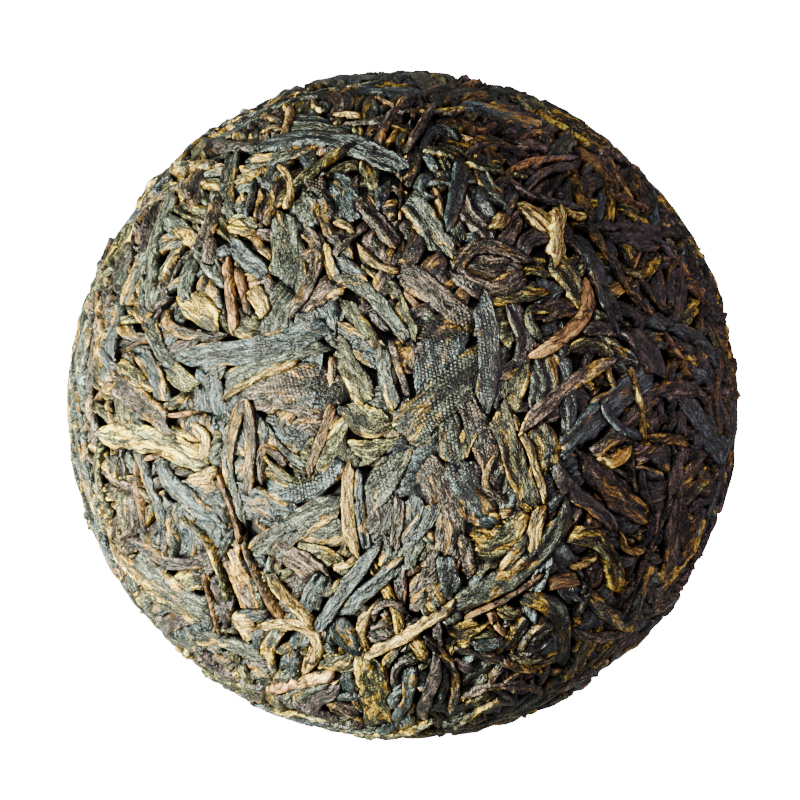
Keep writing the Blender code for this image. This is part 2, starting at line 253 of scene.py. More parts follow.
# %% Place leaves at the upper right
UPPER_RIGHT = (
    ("gold", 2.3, 0, (18.0, 23.0), (18.0, 20.0), (17.5, 16.5), 1.6),
    ("gold", 2.4, 1, (13.5, 23.5), (15.0, 22.5), (17.0, 20.5), 1.7),
    ("gold", 1.9, 0, (12.0, 22.5), (11.5, 21.5), (10.5, 20.5), 0.8),
    ("gold", 1.0, 1, (18.0, 23.0), (19.5, 22.5), (21.5, 22.0), 0.8),
    ("slate", 2.0, 0, (6.5, 29.0), (6.5, 25.0), (5.0, 20.5), 0.25),
    ("grey", 3.6, 1, (0.5, 24.0), (2.5, 21.5), (5.0, 17.5), 0.5),
    ("slate", 1.7, 2, (3.0, 27.0), (2.0, 25.0), (3.5, 24.0), 0.35),
    ("brown", 2.4, 2, (1.0, 30.0), (1.0, 28.0), (0.0, 26.0), 0.3),
    ("brown", 1.3, 1, (3.5, 35.5), (2.0, 32.5), (0.0, 29.5), 0.35),
    ("stem", 1.1, 2, (6.5, 34.0), (9.0, 32.5), (11.0, 33.5), 0.3),
    ("slate", 1.3, 1, (2.5, 30.0), (4.0, 32.5), (6.5, 31.0), 0.3),
    ("dark", 1.0, 0, (21.0, 29.5), (12.5, 27.5), (16.0, 24.0), 0.6),
    ("dark", 1.0, 1, (21.0, 28.5), (17.0, 27.5), (14.5, 25.5), 0.5),
    ("dark", 1.0, 1, (13.0, 26.0), (15.5, 24.5), (21.0, 23.0), 0.5),
    ("brown", 0.9, 1, (7.5, 29.0), (11.0, 30.5), (15.5, 28.5), 0.35),
    ("stem", 1.0, 0, (25.0, 25.0), (27.5, 24.0), (29.5, 23.0), 0.35),
    ("stem", 1.3, 2, (20.5, 30.5), (23.5, 28.5), (25.5, 25.5), 0.25),
    ("brown", 1.1, 0, (21.5, 21.5), (25.0, 15.5), (29.0, 10.5), 0.3),
    ("slate", 2.6, 1, (20.5, 20.0), (23.0, 14.5), (25.5, 8.5), 0.0),
    ("brown", 1.8, 2, (21.0, 8.5), (23.0, 9.0), (25.0, 8.0), 0.5),
    ("olive", 2.0, 2, (19.5, 6.0), (22.0, 7.0), (24.0, 5.5), 0.4),
    ("stem", 1.3, 0, (31.0, 8.5), (32.5, 6.0), (34.0, 3.5), 0.35),
)
print(len(UPPER_RIGHT), "leaves")

# %% [markdown]
# The right flank lies in half shade. What stands out there are a thin golden stalk, a broad
# reddish-brown leaf, an olive one that bends round and a long grey one that points to the lower
# left.

# %% Place leaves on the right
RIGHT = (
    ("dark", 4.1, 2, (26.5, 9.0), (28.5, 6.5), (30.0, 3.5), 0.5),
    ("brown", 2.5, 2, (30.0, 1.0), (32.5, 2.0), (35.5, 1.5), 0.45),
    ("gold", 1.1, 1, (26.5, 4.5), (27.5, 0.5), (28.0, -4.5), 0.45),
    ("slate", 1.4, 0, (23.0, 0.5), (24.5, -2.0), (27.5, -3.5), 0.8),
    ("brown", 3.4, 1, (20.5, -6.0), (24.5, -10.0), (29.0, -13.5), 0.15),
    ("olive", 2.6, 0, (19.5, -15.0), (23.5, -16.5), (25.0, -22.0), 0.65),
    ("gold", 1.1, 1, (19.5, -19.0), (21.5, -18.5), (23.0, -17.0), 0.6),
    ("gold", 0.9, 1, (25.5, -15.0), (26.5, -17.0), (28.5, -17.0), 0.5),
    ("gold", 1.8, 2, (23.0, -6.0), (24.5, -6.5), (26.0, -5.0), 0.55),
    ("olive", 1.0, 2, (26.5, -4.0), (26.5, -7.0), (27.0, -10.0), 0.4),
    ("gold", 1.5, 1, (28.5, -4.0), (31.0, -4.0), (34.0, -4.5), 0.3),
    ("slate", 1.8, 0, (39.5, 2.0), (39.5, -4.0), (36.5, -14.0), 0.1),
    ("olive", 2.9, 1, (11.0, -0.5), (13.0, -6.5), (15.0, -12.5), 0.5),
    ("gold", 1.0, 2, (12.0, -0.5), (14.5, -5.0), (16.5, -11.0), 0.35),
    ("olive", 3.9, 2, (15.5, -2.0), (16.0, -5.0), (16.5, -8.0), 0.3),
    ("brown", 0.9, 0, (11.0, -5.5), (9.5, -9.0), (12.0, -11.0), 0.45),
    ("grey", 2.6, 2, (5.5, -1.0), (5.5, -4.0), (6.0, -7.0), 0.3),
    ("slate", 3.4, 2, (5.5, -6.5), (7.5, -9.5), (10.0, -12.5), 0.3),
    ("slate", 2.4, 1, (3.5, -11.5), (2.0, -14.0), (0.0, -16.5), 0.35),
    ("gold", 1.8, 0, (16.5, -12.0), (15.5, -13.5), (15.0, -17.0), 0.9),
    ("grey", 1.6, 0, (15.5, -14.5), (13.5, -16.5), (11.5, -19.0), 0.45),
    ("grey", 3.4, 1, (18.5, -11.5), (15.0, -18.0), (5.5, -23.0), 0.3),
)
print(len(RIGHT), "leaves")

# %% [markdown]
# Along the bottom a pale stalk and two long blue-grey leaves point to the lower left. Narrow
# leaves bend down beside them towards the rim.

# %% Place leaves at the bottom
BOTTOM = (
    ("gold", 1.5, 0, (6.0, -23.0), (2.5, -25.5), (-4.5, -29.5), 0.95),
    ("brown", 1.8, 3, (7.0, -15.0), (7.5, -17.5), (8.0, -20.0), 0.3),
    ("slate", 2.3, 2, (5.0, -17.5), (5.5, -20.0), (6.0, -23.0), 0.3),
    ("grey", 2.4, 0, (14.0, -22.5), (18.5, -25.0), (19.0, -31.5), 0.3),
    ("grey", 2.4, 1, (14.5, -25.0), (13.0, -27.5), (12.0, -29.5), 0.35),
    ("brown", 1.3, 0, (2.5, -27.0), (6.0, -31.5), (5.5, -36.5), 0.3),
    ("slate", 1.3, 1, (5.5, -30.0), (5.0, -33.5), (3.5, -36.5), 0.3),
    ("brown", 1.4, 1, (6.0, -28.5), (10.0, -29.5), (15.5, -31.5), 0.15),
    ("gold", 1.6, 0, (1.0, -27.0), (2.0, -28.5), (2.5, -30.0), 0.7),
    ("olive", 2.6, 2, (5.5, -26.0), (7.0, -26.5), (9.5, -25.5), 0.55),
    ("slate", 1.6, 2, (8.0, -28.0), (10.0, -28.0), (12.0, -27.5), 0.3),
    ("stem", 1.6, 0, (17.0, -21.0), (18.5, -20.5), (20.5, -20.5), 0.6),
    ("brown", 1.0, 0, (22.0, -19.5), (21.5, -22.5), (20.0, -25.0), 0.4),
    ("slate", 1.8, 0, (-2.5, -16.0), (-6.0, -20.5), (-10.0, -26.5), 0.5),
    ("slate", 1.8, 1, (0.0, -18.0), (-3.5, -21.0), (-7.0, -24.5), 0.5),
    ("slate", 2.3, 3, (-9.0, -20.0), (-10.5, -22.5), (-11.0, -24.5), 0.25),
    ("gold", 1.7, 1, (-15.5, -19.5), (-13.5, -22.5), (-10.5, -26.0), 0.55),
    ("gold", 1.7, 0, (-17.0, -26.0), (-10.5, -27.0), (-12.0, -32.0), 0.65),
    ("gold", 1.8, 0, (-20.0, -25.0), (-18.5, -25.5), (-17.0, -26.0), 1.2),
    ("stem", 1.5, 0, (-16.0, -34.5), (-12.5, -33.0), (-8.0, -32.0), 1.2),
    ("slate", 3.0, 2, (-7.5, -25.0), (-6.5, -27.5), (-5.0, -29.0), 0.15),
    ("brown", 1.0, 1, (-3.5, -25.0), (-2.0, -23.0), (0.5, -24.0), 0.4),
    ("olive", 3.6, 3, (-4.0, -29.0), (-3.5, -33.5), (-3.0, -38.5), 0.3),
    ("stem", 1.1, 1, (-18.5, -15.5), (-16.5, -21.0), (-13.5, -26.5), 0.4),
    ("olive", 1.1, 1, (-6.0, -40.5), (-2.0, -40.0), (3.5, -38.0), 0.6),
)
print(len(BOTTOM), "leaves")

# %% [markdown]
# The left flank faces the light. A broad pale leaf with a curled golden end stands out there,
# with long leaves that follow the rim, and a straight golden stalk nearer to the middle.

# %% Place leaves on the left
LEFT = (
    ("brown", 3.0, 1, (-34.0, 2.5), (-30.5, 0.0), (-27.0, -3.0), 0.5),
    ("olive", 3.3, 1, (-36.5, -4.0), (-30.5, -4.0), (-22.5, -7.0), 1.6),
    ("olive", 1.8, 2, (-28.0, -3.0), (-26.0, -3.5), (-24.0, -5.0), 1.0),
    ("gold", 1.6, 0, (-24.5, -2.5), (-23.0, -4.0), (-23.5, -6.0), 0.9),
    ("gold", 1.6, 0, (-25.0, -9.0), (-23.5, -8.5), (-21.5, -7.5), 0.9),
    ("stem", 0.8, 0, (-22.0, -7.5), (-20.0, -11.5), (-19.0, -16.0), 0.5),
    ("slate", 2.6, 2, (-28.5, -6.5), (-26.0, -10.5), (-20.5, -14.0), 0.6),
    ("olive", 1.0, 1, (-26.0, -13.5), (-22.5, -16.5), (-20.5, -23.0), 0.65),
    ("slate", 1.0, 1, (-19.5, -14.5), (-20.5, -16.0), (-21.5, -18.0), 0.4),
    ("stem", 0.8, 1, (-23.5, -20.0), (-22.5, -23.5), (-21.5, -27.5), 0.5),
    ("dark", 2.3, 3, (-22.0, -20.0), (-21.0, -23.0), (-20.5, -26.0), 0.3),
    ("grey", 4.6, 3, (-32.0, -18.5), (-26.5, -22.5), (-21.5, -25.5), 0.5),
    ("grey", 2.8, 1, (-24.5, -28.0), (-20.5, -28.5), (-16.5, -29.5), 0.45),
    ("olive", 1.4, 2, (-31.5, -22.0), (-28.0, -24.0), (-24.0, -25.5), 0.55),
    ("slate", 1.4, 1, (-39.0, 14.0), (-39.5, 4.0), (-37.0, -11.5), 0.25),
    ("grey", 2.6, 2, (-37.5, 16.0), (-39.3, 8.0), (-39.8, 0.0), 0.1),
    ("brown", 2.2, 3, (-35.5, 14.0), (-37.3, 6.0), (-37.8, -2.0), 0.2),
    ("slate", 2.4, 2, (-39.8, -1.0), (-39.0, -9.0), (-36.5, -16.5), 0.1),
    ("brown", 2.0, 3, (-33.5, 18.5), (-35.5, 12.0), (-36.0, 8.0), 0.3),
    ("gold", 0.9, 0, (-36.0, 12.5), (-36.0, 9.0), (-36.0, 5.0), 0.7),
    ("olive", 2.4, 2, (-34.0, 5.0), (-32.0, 3.5), (-30.0, 1.5), 0.9),
    ("slate", 2.5, 1, (-31.0, 6.0), (-29.0, 3.5), (-28.0, 0.5), 0.75),
    ("olive", 2.9, 1, (-27.5, 4.5), (-26.0, 3.0), (-24.5, 2.0), 0.85),
    ("slate", 4.0, 3, (-23.0, 4.0), (-22.5, 1.5), (-22.0, -1.0), 0.55),
    ("brown", 1.6, 0, (-18.0, 0.5), (-17.5, -4.0), (-18.0, -10.5), 0.55),
    ("stem", 1.3, 0, (-8.0, 0.0), (-9.5, -4.0), (-11.0, -8.0), 0.65),
    ("brown", 1.1, 0, (-13.5, -7.0), (-16.0, -5.0), (-16.0, -9.0), 0.6),
    ("slate", 2.4, 1, (-15.5, -9.5), (-11.0, -10.0), (-7.0, -6.5), 0.5),
    ("grey", 3.7, 1, (-16.5, -17.5), (-11.5, -13.5), (-6.5, -11.5), 0.45),
    ("gold", 1.8, 0, (-6.0, -6.5), (-6.5, -12.0), (-5.5, -17.5), 0.65),
    ("slate", 1.3, 1, (-5.0, -7.5), (-5.0, -11.5), (-4.0, -16.5), 0.3),
    ("gold", 0.9, 1, (-5.0, -17.5), (-6.5, -18.5), (-8.0, -19.0), 0.7),
    ("grey", 3.4, 2, (-4.5, -12.0), (-2.0, -8.5), (-0.5, -5.5), 0.4),
    ("brown", 1.3, 3, (-0.5, -10.5), (-0.5, -13.0), (-1.0, -16.5), 0.5),
)
print(len(LEFT), "leaves")

# %% [markdown]
# All the leaves placed one by one are joined into one list. A curve through three places is the
# simplest one that bends, and few leaves bend more than once. It is drawn in plan, lifted onto
# the dome and divided into even stations, half a millimetre apart, which later carry the
# sections of the leaf.

# %% Draw a middle line through three places
EYE_CATCHERS = MIDDLE + UPPER_LEFT + UPPER_RIGHT + RIGHT + BOTTOM + LEFT
STATION = 0.5 * MM
FEWEST_STATIONS = 4
FINE_STEPS = 60


def line_through(places):
    """Even stations on the dome along the smooth curve through three plan places."""
    share = np.linspace(0.0, 1.0, FINE_STEPS)[:, None]
    start, middle, end = (np.array(place) * MM for place in places)
    plan = (
        start * 2 * (share - 0.5) * (share - 1)
        + middle * 4 * share * (1 - share)
        + end * 2 * share * (share - 0.5)
    )
    curve = on_dome(plan)
    run = np.concatenate(([0.0], np.cumsum(np.linalg.norm(np.diff(curve, axis=0), axis=1))))
    stations = np.linspace(0.0, run[-1], max(FEWEST_STATIONS, round(run[-1] / STATION) + 1))
    return np.column_stack([np.interp(stations, run, curve[:, axis]) for axis in range(3)])


print(len(EYE_CATCHERS), "leaves placed by hand")

# %% [markdown]
# ## How the leaves lie on each other
#
# In the press the uppermost leaf is flattened against the cloth, and a leaf that passes under it
# is pushed down by just its thickness, and comes up again beside it. This can be copied without
# any simulation: the surface is divided into small cells that remember how deep the leaves above
# reach. Leaves are laid from the outside inwards, and each one reads the cells under it, sinks
# where they are taken, and writes its own underside back.

# %% Divide the surface into cells
CELL = 0.36 * MM
ring_of_row = np.interp(np.arange(0.0, RUN[-1], CELL) + CELL / 2, RUN, RING)
CELLS_IN_ROW = np.maximum(3, np.ceil(2 * math.pi * ring_of_row / CELL).astype(int))
FIRST_CELL = np.concatenate(([0], np.cumsum(CELLS_IN_ROW)))
taken_to = np.zeros(FIRST_CELL[-1])


def cells_at(run, angle):
    """The cell under each point."""
    row = np.clip((run / CELL).astype(int), 0, len(CELLS_IN_ROW) - 1)
    share = (angle / (2 * math.pi)) % 1.0
    return FIRST_CELL[row] + np.minimum((share * CELLS_IN_ROW[row]).astype(int), CELLS_IN_ROW[row] - 1)


print(len(taken_to), "cells")

# %% [markdown]
# ## Leaves drawn by lot
#
# The other leaves are drawn with a seeded random source, so that every run gives the same cake.
# Each is centred on a cell that is still free, at a random heading, and walks over the form in
# short steps while it slowly turns. All of them walk at once, as rows of one array, which is
# what keeps this fast.

# %% Draw the other middle lines
SEED = 24
dice = np.random.default_rng(SEED)


def free_places(count):
    """Distances along the section and angles of places where nothing lies yet."""
    free = dice.choice(np.flatnonzero(taken_to == 0), count)
    row = np.searchsorted(FIRST_CELL, free, side="right") - 1
    return (row + 0.5) * CELL, (free - FIRST_CELL[row] + 0.5) / CELLS_IN_ROW[row] * 2 * math.pi


def draw_lines(count, lengths, turns):
    """Middle lines of leaves with lengths and total turns between the limits given."""
    run, angle = free_places(count)
    ring = np.interp(run, RUN, RING)
    point = np.column_stack((ring * np.cos(angle), ring * np.sin(angle), np.interp(run, RUN, LEVEL)))
    _, _, point, out = lay(point)
    ahead = np.cross(out, dice.normal(size=(count, 3)))
    ahead /= np.linalg.norm(ahead, axis=1, keepdims=True)
    length = dice.uniform(*lengths, count) * MM
    _, _, point, out = lay(point - ahead * length[:, None] / 2)
    turn = np.radians(dice.uniform(-turns, turns, count)) * STATION / length
    swing = np.radians(dice.uniform(-turns, turns, count)) * 2 * STATION / length
    steps = int(lengths[1] * MM / STATION)
    walk = [point]
    for step in range(steps):
        _, _, point, out = lay(point + ahead * STATION)
        ahead -= out * np.sum(ahead * out, axis=1, keepdims=True)
        side = np.cross(out, ahead)
        bend = (turn + swing * np.cos(2 * math.pi * step * STATION / length))[:, None]
        ahead = ahead * np.cos(bend) + side * np.sin(bend)
        ahead /= np.linalg.norm(ahead, axis=1, keepdims=True)
        walk.append(point)
    walk = np.stack(walk, axis=1)
    return [line[: round(size / STATION) + 1] for line, size in zip(walk, length)]


print("seed", SEED)

# %% [markdown]
# ## The shape of one leaf
#
# A dried leaf is a long strip that rolled up as it withered and was pressed flat again. It has
# rounded margins, one of them often a thick roll, folds and creases along it, torn edges, and
# ends that are drawn out thin or torn off straight. It is built as a closed tube of sections,
# with more points on the upper side of a section than on the lower one, which nobody sees. The
# seven kinds differ in size, in how much they bend and in how high their folds are.

# %% List the kinds of leaf
# lengths and widths in mm, thickness in mm, fold height in mm, total turn in degrees
KINDS = {
    "slate": dict(lengths=(10.0, 26.0), widths=(1.8, 5.0), thick=(0.20, 0.32), folds=0.13, turns=70),
    "grey": dict(lengths=(9.0, 24.0), widths=(1.4, 4.6), thick=(0.20, 0.32), folds=0.13, turns=90),
    "olive": dict(lengths=(8.0, 22.0), widths=(1.4, 4.4), thick=(0.20, 0.32), folds=0.14, turns=90),
    "brown": dict(lengths=(8.0, 22.0), widths=(1.1, 4.2), thick=(0.20, 0.32), folds=0.14, turns=90),
    "dark": dict(lengths=(8.0, 24.0), widths=(0.9, 3.4), thick=(0.24, 0.40), folds=0.13, turns=120),
    "gold": dict(lengths=(4.0, 12.0), widths=(0.7, 1.9), thick=(0.26, 0.38), folds=0.10, turns=90),
    "stem": dict(lengths=(5.0, 15.0), widths=(0.6, 1.3), thick=(0.40, 0.65), folds=0.04, turns=30),
}
print(len(KINDS), "kinds of leaf")

# %% [markdown]
# A mesh with hundreds of leaves is quickest to fill in one go. So each kind has a heap, which
# gathers the points and faces of its leaves as arrays. With every point go eight values that the
# materials read later, such as how far along its leaf the point lies.

# %% Make a heap for each kind
LEAF_VALUES = ("along", "across", "edge", "ridge", "depth", "print", "tone", "hue")


class Heap:
    """The leaves of one kind, gathered as arrays until they become one mesh."""

    def __init__(self):
        self.places, self.quads, self.fans = [], [], []
        self.values = {name: [] for name in LEAF_VALUES}
        self.count = 0
        self.leaves = 0

    def add(self, sections, values):
        """Add one tube of sections, closed at both ends."""
        rows, around = sections.shape[:2]
        grid = self.count + np.arange(rows * around).reshape(rows, around)
        beside = np.roll(grid, -1, axis=1)
        quads = np.stack((grid[:-1], beside[:-1], beside[1:], grid[1:]), axis=-1)
        self.quads.append(quads.reshape(-1, 4))
        inner = np.arange(1, around - 1)
        for ring, near, far in ((grid[0], inner + 1, inner), (grid[-1], inner, inner + 1)):
            self.fans.append(np.column_stack((np.full(around - 2, ring[0]), ring[near], ring[far])))
        self.places.append(sections.reshape(-1, 3))
        for name, value in values.items():
            self.values[name].append(np.broadcast_to(value, (rows, around)).ravel())
        self.count += rows * around
        self.leaves += 1


heaps = {kind: Heap() for kind in KINDS}
print(len(LEAF_VALUES), "values on every point")

# %% [markdown]
# Nothing on a dried leaf is straight or even. Two kinds of random line serve for all of it: one
# that wavers smoothly, as a fold does, and one with corners, as a torn margin has.

# %% Draw wavering and ragged lines
FINER_IS_WEAKER = 0.7
CORNER_SPACING = (0.4, 1.6)


def waver(count, waves, strength):
    """A smooth random line of values about nought, with finer waves that are weaker."""
    share = np.linspace(0.0, 1.0, count)
    line = np.zeros(count)
    for wave in range(1, waves + 1):
        size = dice.normal()
        phase = math.pi * wave * share + dice.uniform(0, 2 * math.pi)
        line += size * np.sin(phase) / wave**FINER_IS_WEAKER
    return strength * line


def ragged(count, pitch, strength):
    """A random line with corners about every pitch mm, as torn and dried margins have."""
    stations = np.arange(count) * STATION / MM
    corner_count = int(stations[-1] / pitch / CORNER_SPACING[0]) + 3
    corners = np.cumsum(dice.uniform(*CORNER_SPACING, corner_count)) * pitch - pitch
    return np.interp(stations, corners, dice.uniform(-strength, strength, len(corners)))


def soften(field):
    """Average each value with its neighbours along and across the leaf."""
    padded = np.pad(field, ((1, 1), (0, 0)), mode="edge")
    field = (padded[:-2] + 2 * padded[1:-1] + padded[2:]) / 4
    padded = np.pad(field, ((0, 0), (1, 1)), mode="edge")
    return (padded[:, :-2] + 2 * padded[:, 1:-1] + padded[:, 2:]) / 4


print("corners", CORNER_SPACING, "of their pitch apart")

# %% [markdown]
# ## The outline of a leaf
#
# The outline is drawn on the form itself: half a width to each side of the middle line. Each end
# keeps a share of the width, little where the leaf runs out thin and much where it was torn, and
# each margin is ragged in its own way. A slant makes a torn end run askew.

# %% Outline a leaf
# how suddenly the width goes over into a thin end, and how much more so into a torn one
THIN_SHARPNESS = (3.5, 8.0)
TORN_SHARPNESS = 9.0
THIN_END, TORN_END = (0.15, 0.5), (0.5, 0.85)
# pitch in mm and strength of the larger and the smaller teeth of a margin
MARGIN_TEETH = ((1.8, 0.2), (0.8, 0.1))
NARROWEST, WIDEST = 0.1, 1.4
SLANT = 0.9
SLANT_POWER = 5


def end_values(share, first, last):
    """The first value for the near half of a leaf and the last value for the far half."""
    return np.where(share < 0, first, last)


def margin(rows, taper):
    """The half width along one margin, as a share of the whole one."""
    share = 1.0
    for pitch, strength in MARGIN_TEETH:
        share = share + ragged(rows, pitch, strength)
    return np.clip(taper * share, NARROWEST, WIDEST)


def outline_leaf(line, width, side, blunt):
    """The flat leaf on the form: its points, the way out at each station and its half widths."""
    rows = len(line)
    share = np.linspace(-1.0, 1.0, rows)
    _, _, spine, out = lay(line)
    ahead = np.gradient(spine, axis=0)
    ahead /= np.linalg.norm(ahead, axis=1, keepdims=True)
    across = np.cross(out, ahead)
    sharpness = dice.uniform(*THIN_SHARPNESS, 2) + TORN_SHARPNESS * (dice.random(2) < blunt)
    thin, torn = dice.uniform(*THIN_END, 2), dice.uniform(*TORN_END, 2)
    tips = np.where(sharpness < TORN_SHARPNESS, thin, torn)
    taper = 1 - (1 - end_values(share, *tips)) * np.abs(share) ** end_values(share, *sharpness)
    left = margin(rows, taper)
    right = margin(rows, taper)
    half = width / 2 * np.where(side < 0, left[:, None], right[:, None])
    slant = width / 2 * dice.uniform(-SLANT, SLANT, 2)
    skew = end_values(share, *slant) * np.abs(share) ** SLANT_POWER
    flat = spine[:, None] + across[:, None] * (half * side)[..., None]
    flat += ahead[:, None] * (skew[:, None] * side)[..., None]
    return flat, out, half


print("a thin end keeps", THIN_END, "of the width, a torn one", TORN_END)

# %% [markdown]
# ## The wrinkles of a leaf
#
# Four things make up the relief, each with a strength of its own: folds that run along the leaf
# and wander, one margin that is rolled up, a step where a flap lies over, and a fine crumple.
# Each is worked out as heights over the grid of the leaf's points, about 1 high and 1 deep.

# %% Wrinkle a leaf
FOLDS, ROLL, FLAP, CRUMPLE = 1.5, 1.4, 1.0, 0.35
FOLD_PITCH = (1.0, 2.4)
FOLD_MEAN = 0.7
ROLL_PLACE, ROLL_WIDTH = (0.5, 0.9), 0.18
FLAP_PLACE, FLAP_STEEPNESS = 0.5, 10
# how many waves run along each of them, and how strong they are
FOLD_WANDER, FOLD_WAVES, ROLL_WAVES, FLAP_WAVES = (4, 0.3), (5, 0.4), (4, 0.35), (3, 0.15)


def wrinkle(rows, side, half, twist):
    """Folds, a rolled margin, a flap and crumples over a leaf."""
    along = np.arange(rows)[:, None] * STATION / MM
    phase = half * side / MM / dice.uniform(*FOLD_PITCH) + twist * along
    phase = phase + waver(rows, *FOLD_WANDER)[:, None]
    folds = 4 * np.abs(phase - np.round(phase)) - 1
    folds = folds * (FOLD_MEAN + waver(rows, *FOLD_WAVES)[:, None])
    rolled_at = dice.uniform(*ROLL_PLACE) * dice.choice((-1, 1))
    roll = np.exp(-(((side - rolled_at) / ROLL_WIDTH) ** 2))
    roll = roll * (1 + waver(rows, *ROLL_WAVES)[:, None])
    beyond = side - dice.uniform(-FLAP_PLACE, FLAP_PLACE) - waver(rows, *FLAP_WAVES)[:, None]
    flap = np.tanh(FLAP_STEEPNESS * beyond) * dice.choice((-1, 0, 1))
    crumple = soften(dice.normal(size=(rows, len(side))))
    return FOLDS * folds + ROLL * roll + FLAP * flap + CRUMPLE * crumple


print("folds", FOLD_PITCH, "mm apart")

# %% [markdown]
# ## The pressed surface
#
# The cloth and the hands that tied it left the cake a little uneven, the same for every leaf at
# a place. A few long waves in random directions add up to that. In some places the weave of the
# cloth shows, and each of them is an ellipse in plan. In the middle of the dome the leaves were
# pressed hardest. Low on the flanks they lie looser, so they may stand up and show their folds.

# %% Shape the pressed surface
WAVE_COUNT = 7
WAVE_LENGTHS = (5.0, 16.0)
WAVE_HEIGHT = 0.06 * MM
WAVES = dice.normal(size=(WAVE_COUNT, 3))
wave_rates = 2 * math.pi / (dice.uniform(*WAVE_LENGTHS, WAVE_COUNT) * MM)
WAVES *= (wave_rates / np.linalg.norm(WAVES, axis=1))[:, None]
WAVE_STARTS = dice.uniform(0, 2 * math.pi, WAVE_COUNT)
# centre, half width and half length in plan, all in mm
PRINTS = (
    ((6.2, 0.9), 5.6, 12.0),
    ((-11.5, 2.3), 5.0, 2.6),
    ((-10.4, -9.3), 4.0, 2.2),
    ((-2.5, -8.6), 2.4, 3.6),
    ((-10.1, 25.2), 2.4, 1.6),
)
# how steeply a print fades out, and how far past its ellipse
PRINT_FADE, PRINT_REACH = 2.5, 1.1
# out to here the dome was pressed hardest, and from there the leaves lie ever looser
TIGHT_RADIUS, LOOSENING = 12.0 * MM, 16.0 * MM
LOOSE_BELOW = 0.7


def unevenness(places):
    """How far the pressed surface itself stands out or in at the places."""
    return WAVE_HEIGHT * np.sum(np.sin(places @ WAVES.T + WAVE_STARTS), axis=-1)


def printed(places):
    """How clearly the weave of the cloth shows at the places, from 0 to 1."""
    clear = np.zeros(places.shape[:-1])
    for centre, wide, long in PRINTS:
        off = (places[..., :2] / MM - centre) / (wide, long)
        beyond = PRINT_REACH - np.hypot(off[..., 0], off[..., 1])
        clear = np.maximum(clear, np.clip(PRINT_FADE * beyond, 0, 1))
    return clear * (places[..., 2] > HEIGHT / 2)


def looseness(place):
    """From 0 where the cloth pressed hardest, in the middle of the dome, to 1 low on its flanks."""
    if place[2] <= WAIST_HEIGHT:
        return LOOSE_BELOW
    ring = math.hypot(place[0], place[1])
    return float(np.clip((ring - TIGHT_RADIUS) / LOOSENING, 0, 1))


print(len(PRINTS), "prints of the cloth")

# %% [markdown]
# ## Laying one leaf
#
# First the leaf asks the cells how deep the leaves above it reach, and goes down by that much and
# a small gap. Where nothing lies above, it keeps to the pressed surface. Its ends dip a little
# more, so that none of them sticks out. Then its wrinkles are raised and its margins rounded off.
# At last it tells the cells how deep its own underside lies, for the leaves that come after it.
# The helpers for its section come first.

# %% Shape the section of a leaf
# a wider leaf has more points across, two more from each of these widths in mm on
WIDER_FROM = (1.1, 1.7, 2.4, 3.2, 4.2, 5.2)
FEWEST_ACROSS = 7
# how evenly the points are spread, instead of crowding at the margins
EVEN_SHARE = 0.4
# how far the ends dip, and over which length
END_DIP, END_REACH = 0.22 * MM, 1.2 * MM
# a leaf is the rounder the narrower it is
ROUNDNESS, ROUND_WIDTH = 1.6, 1.8 * MM
# how far the middle of a leaf stands up, in mm, where it lies tight, and how much more if loose
ROUND_CROWN, LOOSE_ROUND_CROWN = 0.14, 0.26
FLAT_CROWN, LOOSE_FLAT_CROWN = (-0.14, 0.06), (0.0, 0.3)
# the share of their height that folds keep where a leaf lies tight, and how much more if loose
FOLDS_TIGHT, FOLDS_LOOSE = 0.55, 0.55
# how many waves the whole leaf makes along its length, and how high they are in mm
SPINE_WAVES = (5, 0.04)
# a high power keeps the section flat up to a narrow rounding at each margin
MARGIN_POWER = 9


def points_across(width):
    """The places of a section's points from margin to margin, closer together at both."""
    count = FEWEST_ACROSS + 2 * sum(width > limit * MM for limit in WIDER_FROM)
    spread = np.linspace(-1.0, 1.0, count)
    return EVEN_SHARE * spread + (1 - EVEN_SHARE) * np.sin(spread * math.pi / 2)


def end_dip(rows):
    """How much further down each station of a leaf goes towards the ends."""
    share = np.linspace(0.0, 1.0, rows)[:, None]
    to_end = np.minimum(share, 1 - share) * rows * STATION
    return END_DIP * np.clip(1 - to_end / END_REACH, 0, 1) ** 2


def raise_relief(form, width, loose, side, ridge, thick):
    """How far the upper side of a leaf stands above its depth."""
    rolled = np.clip(ROUNDNESS - width / ROUND_WIDTH, 0, 1)
    flat_crown = dice.uniform(*FLAT_CROWN) + loose * dice.uniform(*LOOSE_FLAT_CROWN)
    round_crown = ROUND_CROWN + LOOSE_ROUND_CROWN * loose
    crown = (round_crown * rolled + flat_crown * (1 - rolled)) * (1 - side**2)
    folds = form["folds"] * (FOLDS_TIGHT + FOLDS_LOOSE * loose) * ridge
    round_off = thick * (1 - np.sqrt(np.clip(1 - np.abs(side) ** MARGIN_POWER, 0, 1)))
    return MM * (folds + crown + waver(len(ridge), *SPINE_WAVES)[:, None]) - round_off


print("up to", FEWEST_ACROSS + 2 * len(WIDER_FROM), "points across a leaf")

# %% [markdown]
# A leaf takes up the cells under its own points, and those half-way to the next station too, so
# that no cell in between is missed. Its margins are thin and take up less depth than its middle.

# %% Tell the cells about a leaf
# places nearer to the middle line than this share of the half width take their cells
TAKEN_SHARE = 0.97
# a leaf takes up its whole thickness in the middle, and less and less of it near its margins
TAKEN_FULL, TAKEN_LEAST, TAKEN_POWER = 1.1, 0.3, 6


